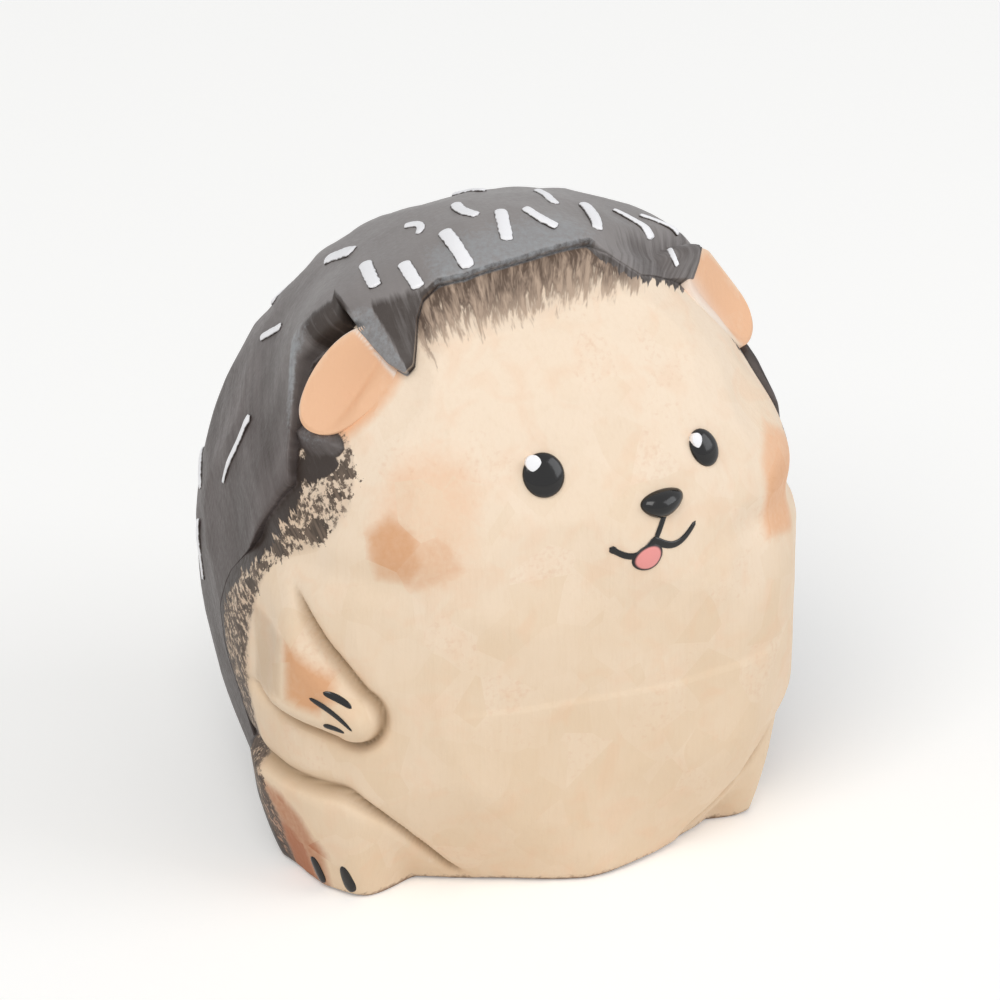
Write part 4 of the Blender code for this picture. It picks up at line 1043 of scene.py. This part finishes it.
class FigurineForm(bpy.types.PropertyGroup):
    """Sizes of the carving and the painted marks."""
    body_columns: setting("Body columns", "Columns of the body's grid", 400)
    body_rows: setting("Body rows", "Rows of the body's grid", 226)
    coat_columns: setting("Coat columns", "Columns of the coat's grid", 720)
    coat_rows: setting("Coat rows", "Rows of the coat's outer face", 96)
    groove_depth: length("Groove depth", "Depth of the knife grooves round the limbs", 0.0010)
    groove_width: length("Groove width", "Half width of those grooves", 0.00045)
    fine_depth: length("Paring depth", "Depth of the fine knife marks", 0.00006)
    base_radius: length("Base wear", "Radius to which the base's edge is worn", 0.0004)
    lip_radius: length("Lip radius", "Roll of the coat's lip at the fringe", 0.00032)
    lip_foot: setting("Lip foot", "Share of its height left at its edge", 0.5, subtype="FACTOR")
    ear_bevel: length("Ear bevel", "Extra width of the coat's slope down to the ears", 0.0009)
    right_wall: length("Right swelling", "Rise of the coat over the right ear", 0.0016)
    left_wall: length("Left swelling", "Rise of the coat over the left ear", 0.0014)
    flute_depth: length("Flutes", "Depth of the shallow hollows pared into the coat", 0.00005)
    tuft_rise: length("Tuft ridge", "Height of the right tuft's ridge", 0.0009)
    full_crown: length("Full crown", "Fullness of the coat behind the left ear", 0.0006)
    right_ear_rise: length("Right ear", "Rise of the right ear's rear rim", 0.0015)
    left_ear_rise: length("Left ear", "Rise of the left ear's rear rim", 0.0024)
    ear_dish: length("Ear hollow", "Depth of the hollow in each ear", 0.0010)
    quill_thickness: length("Quill paint", "Thickness of the white quill strokes", 0.00022)


def paint_property(name, description, hex_colour):
    """A colour setting with its default from an sRGB hex value."""
    return bpy.props.FloatVectorProperty(name=name, description=description, subtype="COLOR",
                                         min=0.0, max=1.0, default=linear(hex_colour))


class FigurinePaint(bpy.types.PropertyGroup):
    """Colours of the paint."""
    # The wash's light and dark: painted paler up the figure and darker low down, as light from
    # above
    forehead: paint_property("Forehead", "Cream wash over the face", "FAE5CD")
    belly: paint_property("Belly", "The same wash, warmer, low on the belly", "EFD5B6")
    bare_wood: paint_property("Bare wood", "Basswood grain under the wash", "DDB98F")
    peach: paint_property("Peach", "Glaze on the ears and cheeks", "F3BF97")
    tan: paint_property("Tan", "Glaze on the arms and the right cheek", "DFA577")
    russet: paint_property("Russet", "Glaze on the feet", "B46E47")
    # Brown wax in the grooves, which also paints their shade
    wax_and_shade: paint_property("Wax", "Brown wax in the grooves", "A68764")
    # Pale cream on the ear rims, and a painted highlight on the right ear's edge by the tuft
    rim_highlight_cream: paint_property("Rubbed edge", "Ear rims rubbed back", "FBEDE2")
    coat_dark: paint_property("Coat, dark", "Dark streaks of the coat", "443A36")
    coat_light: paint_property("Coat, light", "Light streaks of the coat", "6E6563")
    # Painted highlight: the coat lighter and cooler on the crown, where the light falls
    coat_highlight: paint_property("Coat, worn", "The coat rubbed lighter on the crown", "A29D9B")
    # Cool grey for the painted highlight on the coat's crests
    highlight_grey: paint_property("Cool grey", "Scumble on the coat's crests", "9FA2A5")
    # Umber paint, also used for painted shade over the ear, on the right tuft and under the lip
    umber_and_shade: paint_property("Umber", "The coat's edge at the sides and over the ear", "342922")
    dry_dark: paint_property("Dry brush, dark", "Dark hairs of the broken strokes", "483428")
    dry_light: paint_property("Dry brush, light", "Thin hairs of the broken strokes", "B59D89")
    daub_light: paint_property("Daubs, light", "Thin places in the daubs at the sides", "7D6A5C")
    # Brown that darkens the base's edge in a ragged band
    base_edge_brown: paint_property("Chipped edge", "Dirt in the base's chipped edge", "8A674B")
    black: paint_property("Black", "Enamel of the eyes, nose, mouth and claws", "0F0C0B")
    white: paint_property("White", "Enamel of the quills and eye glints", "FBFAFC")
    tongue: paint_property("Tongue", "Enamel of the tongue", "F29C97")


class FigurineStage(bpy.types.PropertyGroup):
    """Camera and lights."""
    azimuth: setting("Camera azimuth", "Angle from the front", math.radians(-19.5), subtype="ANGLE")
    elevation: setting("Camera elevation", "Angle above level", math.radians(26.3), subtype="ANGLE")
    distance: length("Camera distance", "From the figure's middle", 0.59)
    lens: setting("Lens", "Focal length in millimetres", 300.0)
    key: setting("Key light", "Power of the large soft light", 3.5)
    fill: setting("Fill light", "Power of the light from the other side", 1.6)
    sky: setting("Sky", "Strength of the even light all round", 0.47)
    lift: setting("Paper white", "Lift of the paper where it is seen", 0.22)
    floor: paint_property("Floor", "Matte paper under the figure", "F6F5F3")


def base_elevations(azimuth):
    """Elevation at which the carved body meets the base plane, by halving."""
    low, high = np.full(azimuth.shape, -1.4), np.full(azimuth.shape, -0.3)
    for _ in range(26):
        middle = (low + high) / 2
        way = towards(azimuth, middle)
        below = raised(way, body_height(way))[..., 2] < 0.0
        low, high = np.where(below, middle, low), np.where(below, high, middle)
    return high


def fine_paring(way):
    """Depth of small flat cuts: the gap between the block and a close net of knife planes."""
    form = bpy.context.scene.figurine_form
    plane_normals, distances = knife_planes(FINE_CUTS, form.fine_depth, FINE_TURN)
    gap = rounded_block(way) - flats(way, plane_normals, distances, FINE_WEAR)
    return np.clip(gap, FINE_LEAST, FINE_MOST) * FINE_SHARE


# How far the grids' columns crowd to the front, and the coat's rows to its edge
BODY_CROWDING, COAT_CROWDING, EDGE_CROWDING = 0.3, 0.62, 1.35
# The coat's wall leans in by an angle, in radians, to a foot below the block's face. The body is
# cut away under the coat, starting inside its edge.
WALL_LEAN, WALL_FOOT, SEAT_INSET, SEAT_SLOPE = 0.008, 0.0006, 0.0004, 0.0008


class FIGURINE_OT_body(bpy.types.Operator):
    """Carve the body: head, belly, arms and legs in one block"""
    bl_idname = "figurine.body"
    bl_label = "Carved body"

    def execute(self, context):
        form = context.scene.figurine_form
        turn = np.linspace(-math.pi, math.pi, form.body_columns, endpoint=False)
        azimuth = turn - BODY_CROWDING * np.sin(turn)
        floor = base_elevations(azimuth)
        share = np.linspace(0.0, 1.0, form.body_rows)[:, None]
        elevation = floor + (math.pi / 2 - floor) * share
        way = towards(azimuth + 0.0 * elevation, elevation)
        height, hollow = carving(way)
        turn_round, reach = around_axis(way)
        inside = (coat_reach(turn_round) - reach) * HALF_WIDTH
        sunk = (COAT_THICKNESS + GAP / 2) * ease((inside - SEAT_INSET) / SEAT_SLOPE)
        for side in (-1, 1):
            near = np.hypot(*ear_place(way, side))
            sunk = np.maximum(sunk, (EAR_SEAT + GAP) * ease((0.93 - near) / 0.2))
        leaf = ease(blade(turn_round, reach, *LEAF) / LEAF[4]) * 0.0006
        points = raised(way, height + leaf - sunk - fine_paring(way))
        worn = form.base_radius
        inset = worn - np.sqrt(worn ** 2 - (worn - np.clip(points[..., 2], 0.0, worn)) ** 2)
        outward = (points - CENTRE) * (1.0, 1.0, 0.0)
        distance = np.maximum(np.linalg.norm(outward, axis=-1), 1e-9)
        points -= (inset / distance)[..., None] * outward
        points[0, :, 2] = 0.0
        under = points[0] * np.linspace(0.0, 1.0, 8)[:-1, None, None]
        masks = {key: [np.concatenate([np.repeat(values[:1], len(under), 0), values])]
                 for key, values in paint_masks(way, hollow).items()}
        add_piece("body_visual", [np.concatenate([under, points])], ["carved_body"],
                  wood_finish(), masks)
        return {"FINISHED"}


class FIGURINE_OT_coat(bpy.types.Operator):
    """Lay the dark coat over the crown and back, with its rolled lip and tufts"""
    bl_idname = "figurine.coat"
    bl_label = "Quill mantle"

    def execute(self, context):
        form = context.scene.figurine_form
        turn = np.linspace(-math.pi, math.pi, form.coat_columns, endpoint=False)
        turn = turn - COAT_CROWDING * np.sin(turn)
        edge = coat_reach(turn)
        even = np.linspace(0.0, 1.0, form.coat_rows)[:, None]
        outer = 1.0 - (1.0 - even) ** EDGE_CROWDING
        outer_way = coat_way(turn + 0.0 * outer, edge * outer)
        outer_height = coat_height(outer_way) - fine_paring(outer_way)
        down = np.linspace(0.0, 1.0, 6)[1:, None]
        wall_way = coat_way(turn + 0.0 * down, edge - WALL_LEAN * down)
        wall_height = outer_height[-1] * (1.0 - down) - WALL_FOOT * down
        inner = np.linspace(0.97, 0.0, 12)[:, None]
        inner_way = coat_way(turn + 0.0 * inner, (edge - WALL_LEAN) * inner)
        inner_height = np.full(inner_way.shape[:2], -COAT_THICKNESS)
        ways = np.concatenate([outer_way, wall_way, inner_way])
        points = raised(ways, np.concatenate([outer_height, wall_height, inner_height]))
        masks = paint_masks(ways, np.zeros(ways.shape[:2]))
        add_piece("quill_mantle_visual", [points], ["quill_mantle"], wood_finish(),
                  {key: [values] for key, values in masks.items()})
        return {"FINISHED"}


class FIGURINE_OT_ears(bpy.types.Operator):
    """Dish both ears between the coat and the face"""
    bl_idname = "figurine.ears"
    bl_label = "Ears"

    def execute(self, context):
        share = np.concatenate([np.linspace(0.0, 0.9, 18), np.linspace(0.92, 1.0, 8)])[:, None]
        t = np.linspace(0.0, 2 * math.pi, 120, endpoint=False)[None]
        foot = np.array([1.0, 0.98, 0.8, 0.5, 0.0])[:, None]
        all_shares = np.concatenate([share, foot])
        x, y = all_shares * np.cos(t), all_shares * np.sin(t)
        for name, side in (("left_ear", 1), ("right_ear", -1)):
            way = across_hull(ear_centre(side), x * EAR_HALF_WIDTH, y * EAR_HALF_HEIGHT,
                              side * EAR_TURN)
            height = np.full(x.shape, -EAR_SEAT)
            face = slice(0, len(share))
            height[face] = ear_face(x[face], y[face], side) + body_height(way[face])
            masks = paint_masks(way, np.zeros(x.shape))
            masks["coat"] = np.full(x.shape, -9.0)
            masks["band"] = np.full(x.shape, BAND_OFF)
            masks["fringe"] = masks["umber_and_shade"] = masks["grey_highlight"] = np.zeros(x.shape)
            if side > 0:
                # The front of the left ear is painted paler
                masks["rim"] = 0.7 * ease((0.25 - x) / 0.8) * ease((0.75 + y) / 0.9)
            else:
                # So is the outer rim of the right one, and its edge beside the tuft gets a painted
                # highlight
                rim = 0.7 * ease((np.hypot(x, y) - 0.93) / 0.05) * ease((0.6 * y - x + 0.35) / 0.5)
                turn, reach = around_axis(way)
                past = (reach - coat_reach(turn)) * HALF_WIDTH / MM
                edge_highlight = np.exp(-((past - 0.42) / 0.36) ** 2)
                edge_highlight = edge_highlight * between(np.degrees(turn), *EDGE_HIGHLIGHT_SPAN)
                masks["rim"] = np.maximum(rim, edge_highlight)
            add_piece(name + "_visual", [raised(way, height)], [name], wood_finish(),
                      {key: [values] for key, values in masks.items()})
        return {"FINISHED"}


class FIGURINE_OT_eyes(bpy.types.Operator):
    """Set the glossy eyes and their painted glints"""
    bl_idname = "figurine.eyes"
    bl_label = "Eyes"

    def execute(self, context):
        on_body = surface_on(body_height)
        for name, side, (wide, tall, turn, drop) in (
                ("left", 1, LEFT_EYE), ("right", -1, RIGHT_EYE)):
            eye = spot(FACE_AZIMUTH + side * EYE_SPREAD, EYE_HEIGHT - drop)
            grid, share = dome(eye, wide, tall, EYE_THICKNESS, on_body, turn)
            painted_mark(name + "_eye", "black_gloss", grid, share)
            glint = across_hull(eye, np.array(GLINT_ACROSS * wide), np.array(GLINT_UP * tall))
            grid, share = dome(glint, GLINT_SIZE * wide, GLINT_SIZE * tall, GLINT_THICKNESS,
                               on_body, base=GLINT_FOOT, fullness=0.8)
            painted_mark(name + "_eye_glint", "white_paint", grid, share * 0.6)
        return {"FINISHED"}


class FIGURINE_OT_nose(bpy.types.Operator):
    """Shape the nose button"""
    bl_idname = "figurine.nose"
    bl_label = "Nose"

    def execute(self, context):
        grid, share = dome(spot(NOSE_AZIMUTH, NOSE_HEIGHT), NOSE_HALF_WIDTH, NOSE_HALF_HEIGHT,
                           NOSE_THICKNESS, surface_on(body_height), NOSE_TURN, taper=0.26,
                           fullness=0.6)
        painted_mark("nose", "black_gloss", grid, share)
        return {"FINISHED"}


class FIGURINE_OT_mouth(bpy.types.Operator):
    """Brush the mouth, the line under the nose and the tongue"""
    bl_idname = "figurine.mouth"
    bl_label = "Mouth and tongue"

    def execute(self, context):
        on_body = surface_on(body_height)
        middle = spot(MOUTH_AZIMUTH, MOUTH_HEIGHT)
        share = np.linspace(-1.0, 1.0, 49)
        sag = MOUTH_SAG * (0.4 * share ** 2 - np.abs(np.sin(math.pi * share)))
        line = across_hull(middle, share * MOUTH_HALF_WIDTH, sag)
        swell = 1.0 - 0.35 * np.abs(share) + 0.35 * ease((-share - 0.86) / 0.08)
        painted_mark("mouth_line", "black_gloss", *brush_mark(
            line, MOUTH_LINE * swell * blunt_ends(share, 24), MOUTH_THICKNESS, on_body))
        rise = np.linspace(0.0, 1.0, 14)
        line = across_hull(middle, 0.0001 + 0.0010 * rise, 0.0001 + 0.0016 * rise)
        painted_mark("philtrum_line", "black_gloss", *brush_mark(
            line, PHILTRUM_LINE * blunt_ends(2.0 * rise - 1.0, 8), LINE_THICKNESS, on_body))
        grid, across = dome(spot(TONGUE_AZIMUTH, TONGUE_HEIGHT), TONGUE_HALF_WIDTH,
                            TONGUE_HALF_HEIGHT, TONGUE_THICKNESS, on_body, TONGUE_TURN, taper=0.12)
        painted_mark("tongue", "tongue_pink", grid, across * 1.08)
        return {"FINISHED"}


# Each claw of a paw: how far its middle lies outward and up, its length, and its slope in degrees
PAW_CLAWS = (
    (0.0012, 0.0001, 0.0015, 8), (0.0014, 0.0012, 0.0035, 33), (0.0010, 0.0023, 0.0021, 30),
)


class FIGURINE_OT_claws(bpy.types.Operator):
    """Brush three claws on each paw and two on each foot"""
    bl_idname = "figurine.claws"
    bl_label = "Claws"

    def execute(self, context):
        on_body = surface_on(body_height)
        share = np.linspace(-1.0, 1.0, 26)
        thin = blunt_ends(share, 3)
        for name, side in (("left", 1), ("right", -1)):
            hand = spot(LIMB_MIDDLE + side * CLAW_SPREAD, CLAW_HEIGHT)
            for number, (outward, up, long, slope) in enumerate(PAW_CLAWS):
                middle = across_hull(hand, np.array(side * outward), np.array(up))
                bend = 0.06 * long * (1.0 - share ** 2)
                line = across_hull(middle, share * long / 2, bend, side * (slope + 90.0) + 90.0)
                width = PAW_CLAW_LINE * thin * (1.0 - 0.25 * share)
                painted_mark(f"{name}_paw_claw_{number + 1}", "black_gloss",
                             *brush_mark(line, width, LINE_THICKNESS, on_body))
            for number, spread in enumerate(FOOT_CLAW_SPREADS):
                foot = spot(FOOT_MIDDLE + side * spread, FOOT_CLAW_HEIGHT)
                line = across_hull(foot, share * FOOT_CLAW_HALF, 0.0 * share, 90.0 - side * 12.0)
                width = FOOT_CLAW_LINE * thin * (1.0 - 0.2 * share)
                painted_mark(f"{name}_foot_claw_{number + 1}", "black_gloss",
                             *brush_mark(line, width, FOOT_CLAW_THICKNESS, on_body))
        return {"FINISHED"}


# The strokes round the fringe and down the right side: turn and reach of both ends in degrees,
# half width in mm, how much narrower the second end is, and bend as a share of the length
FRONT_STROKES = (
    (-38.0, 45.8, -30.0, 50.8, 0.60, 0.0, 0.04), (-27.0, 58.2, -25.6, 66.6, 0.50, 0.1, 0.0),
    (-20.3, 63.3, -19.2, 69.6, 0.50, 0.05, 0.0), (-12.0, 59.0, -10.6, 68.6, 0.53, 0.0, 0.0),
    (-18.4, 51.6, -16.4, 56.4, 0.38, 0.2, 0.30), (-1.0, 57.3, -2.8, 64.9, 0.50, 0.05, 0.0),
    (-7.3, 50.7, -5.3, 57.8, 0.44, 0.0, -0.10), (3.4, 58.0, 6.8, 63.6, 0.42, 0.1, -0.08),
    (17.5, 54.5, 14.6, 63.6, 0.46, 0.1, 0.04), (11.5, 48.5, 11.2, 55.0, 0.44, 0.1, 0.0),
    (-3.0, 38.0, 1.5, 44.5, 0.42, 0.1, 0.0), (23.0, 56.0, 26.5, 63.8, 0.24, -0.6, 0.0),
    (27.5, 57.5, 33.0, 62.2, 0.20, -0.2, 0.0), (29.0, 65.7, 28.7, 69.6, 0.12, -0.2, -0.12),
    (-63.5, 67.3, -80.5, 72.3, 0.40, 0.6, 0.02), (-59.5, 51.8, -51.5, 54.3, 0.34, 0.1, 0.0),
    (-99.5, 70.0, -110.0, 78.3, 0.27, 0.4, 0.03),
)
# Rows of strokes on the back: reach, first and last turn in degrees, and how many
REAR_ROWS = ((16, 30, 330, 4), (38, 66, 300, 5), (60, 58, 262, 7))


class FIGURINE_OT_quills(bpy.types.Operator):
    """Paint the white quill strokes on the coat"""
    bl_idname = "figurine.quills"
    bl_label = "Quill strokes"

    def execute(self, context):
        form = context.scene.figurine_form
        places = list(FRONT_STROKES)
        for row, (reach, first, last, count) in enumerate(REAR_ROWS):
            for number in range(count):
                swing = math.sin(2.0 * number + row)
                turn = first + (last - first) * number / (count - 1)
                lean = 2.5 * swing / math.sin(math.radians(reach))
                places.append((turn - lean, reach - 4.6, turn + lean, reach + 4.6 + swing,
                               0.40 + 0.06 * swing, 0.1, 0.05 * swing))
        on_coat = surface_on(coat_height)
        share = np.linspace(-1.0, 1.0, 40)
        grids, shares = [], []
        for number, (*ends, half_width, narrowing, bend) in enumerate(places):
            turn, reach = np.radians(ends).reshape(2, 2).T
            start, end = coat_way(turn, reach)
            sideways = np.cross(start, end)
            line = np.outer(0.5 - share / 2, start) + np.outer(0.5 + share / 2, end)
            line = unit(line + bend * np.outer(1.0 - share ** 2, sideways))
            wander = 0.03 * np.sin(7.0 * share + number) + 0.025 * np.sin(19.0 * share + 2 * number)
            width = half_width * MM * blunt_ends(share, 22) * (1.0 + wander)
            width = width * (1.0 - narrowing * (share + 1.0) / 2)
            grid, across = brush_mark(line, width, form.quill_thickness, on_coat, 18)
            grids.append(grid)
            shares.append(across)
        names = sorted(name for name in NODES if name.startswith("quill_stroke_"))
        add_piece("quill_strokes_visual", grids, names, enamelled(*WHITE_ENAMEL),
                  {"across": shares})
        return {"FINISHED"}


def shows_background(tree):
    """1 for rays that only show the background: the camera's, and those in gloss and glass."""
    path = node(tree, "ShaderNodeLightPath", {})
    seen = path["Is Camera Ray"]
    for other in ("Is Glossy Ray", "Is Transmission Ray"):
        seen = node(tree, "ShaderNodeMath", {0: seen, 1: path[other]}, operation="MAXIMUM")[0]
    return seen


# Each lamp: its name, place, side and colour. Both are turned to a place inside the figure.
KEY_LAMP = ("key_light", (-0.36, -0.46, 0.74), 0.55, (1.0, 0.985, 0.96))
FILL_LAMP = ("fill_light", (0.60, -0.35, 0.35), 0.5, (0.95, 0.97, 1.0))
LAMP_AIM, CAMERA_AIM = (0.0, 0.0, 0.02), (0.0, -0.0009, 0.0225)
FLOOR_HALF_WIDTH, FLOOR_HEIGHT, SENSOR_WIDTH = 1.5, -0.00002, 36.0


def area_light(name, place, size, colour, power):
    """A square soft light at a place, turned to the figure."""
    lamp = bpy.data.lights.new(name, "AREA")
    lamp.shape, lamp.size, lamp.energy, lamp.color = "SQUARE", size, power, colour
    light = bpy.data.objects.new(name, lamp)
    light.location = place
    aim = Vector(LAMP_AIM) - Vector(place)
    light.rotation_euler = aim.to_track_quat("-Z", "Y").to_euler()
    bpy.context.scene.collection.objects.link(light)


class FIGURINE_OT_stage(bpy.types.Operator):
    """Set the floor, the lights and the camera"""
    bl_idname = "figurine.stage"
    bl_label = "Stage"

    def execute(self, context):
        scene, stage = context.scene, context.scene.figurine_stage
        half = FLOOR_HALF_WIDTH
        corners = ((-half, -half), (half, -half), (half, half), (-half, half))
        mesh = bpy.data.meshes.new("floor")
        mesh.from_pydata([(x, y, FLOOR_HEIGHT) for x, y in corners], [], [(0, 1, 2, 3)])
        material, tree = new_material("paper_matte_uncoated")
        place = node(tree, "ShaderNodeTexCoord", {})["Object"]
        # The paper's fibres are about 1 mm apart
        fibre = node(tree, "ShaderNodeTexNoise", {
            "Vector": place, "Scale": 900.0, "Detail": 2.0})[0]
        bump = node(tree, "ShaderNodeBump", {
            "Strength": 0.05, "Distance": 0.00005, "Height": fibre})[0]
        shader = node(tree, "ShaderNodeBsdfPrincipled", {
            "Base Color": (*stage.floor, 1), "Roughness": 0.9, "Specular IOR Level": 0.1,
            "Normal": bump})[0]
        # The camera and the gloss see the paper lifted to white, with the figure's shadow kept
        lift = node(tree, "ShaderNodeMath", {0: shows_background(tree), 1: stage.lift},
                    operation="MULTIPLY")[0]
        glow = node(tree, "ShaderNodeEmission", {
            "Color": (1.0, 0.995, 0.985, 1), "Strength": lift})[0]
        shader = node(tree, "ShaderNodeAddShader", {0: shader, 1: glow})[0]
        node(tree, "ShaderNodeOutputMaterial", {"Surface": shader})
        mesh.materials.append(material)
        floor = bpy.data.objects.new("floor", mesh)
        scene.collection.objects.link(floor)
        area_light(*KEY_LAMP, stage.key)
        area_light(*FILL_LAMP, stage.fill)
        world = bpy.data.worlds.new("studio")
        world.use_nodes = True
        world.node_tree.nodes.clear()
        seen = node(world.node_tree, "ShaderNodeMapRange", {
            0: shows_background(world.node_tree), 3: stage.sky, 4: 0.97})[0]
        back = node(world.node_tree, "ShaderNodeBackground", {
            "Color": (0.96, 0.98, 1.0, 1), "Strength": seen})[0]
        node(world.node_tree, "ShaderNodeOutputWorld", {"Surface": back})
        scene.world = world
        camera_data = bpy.data.cameras.new("camera")
        camera_data.lens, camera_data.sensor_width = stage.lens, SENSOR_WIDTH
        camera = bpy.data.objects.new("camera", camera_data)
        away = Vector(towards(stage.azimuth, stage.elevation).tolist())
        camera.location = Vector(CAMERA_AIM) + away * stage.distance
        camera.rotation_euler = (-away).to_track_quat("-Z", "Y").to_euler()
        scene.collection.objects.link(camera)
        scene.camera = camera
        scene.view_settings.view_transform = "Standard"
        return {"FINISHED"}


PIECES = (FIGURINE_OT_body, FIGURINE_OT_coat, FIGURINE_OT_ears, FIGURINE_OT_eyes, FIGURINE_OT_nose,
          FIGURINE_OT_mouth, FIGURINE_OT_claws, FIGURINE_OT_quills, FIGURINE_OT_stage)


class FIGURINE_PT_panel(bpy.types.Panel):
    """Lists the pieces and their settings"""
    bl_idname = "FIGURINE_PT_panel"
    bl_label = "Carved hedgehog"
    bl_space_type = "VIEW_3D"
    bl_region_type = "UI"
    bl_category = "Figurine"

    def draw(self, context):
        for piece in PIECES:
            self.layout.operator(piece.bl_idname)
        scene = context.scene
        for group in (scene.figurine_form, scene.figurine_paint, scene.figurine_stage):
            box = self.layout.box()
            for name in group.__annotations__:
                box.prop(group, name)


CLASSES = (FigurineForm, FigurinePaint, FigurineStage, *PIECES, FIGURINE_PT_panel)


def register():
    """Adds the classes, and the settings to every scene."""
    for made in CLASSES:
        bpy.utils.register_class(made)
    bpy.types.Scene.figurine_form = bpy.props.PointerProperty(type=FigurineForm)
    bpy.types.Scene.figurine_paint = bpy.props.PointerProperty(type=FigurinePaint)
    bpy.types.Scene.figurine_stage = bpy.props.PointerProperty(type=FigurineStage)


def unregister():
    """Removes the settings and the classes again."""
    scene = bpy.types.Scene
    del scene.figurine_form, scene.figurine_paint, scene.figurine_stage
    for made in reversed(CLASSES):
        bpy.utils.unregister_class(made)


def main():
    """Makes the pieces and the stage."""
    register()
    bpy.ops.figurine.body()
    bpy.ops.figurine.coat()
    bpy.ops.figurine.ears()
    bpy.ops.figurine.eyes()
    bpy.ops.figurine.nose()
    bpy.ops.figurine.mouth()
    bpy.ops.figurine.claws()
    bpy.ops.figurine.quills()
    bpy.ops.figurine.stage()


if __name__ == "__main__":
    main()
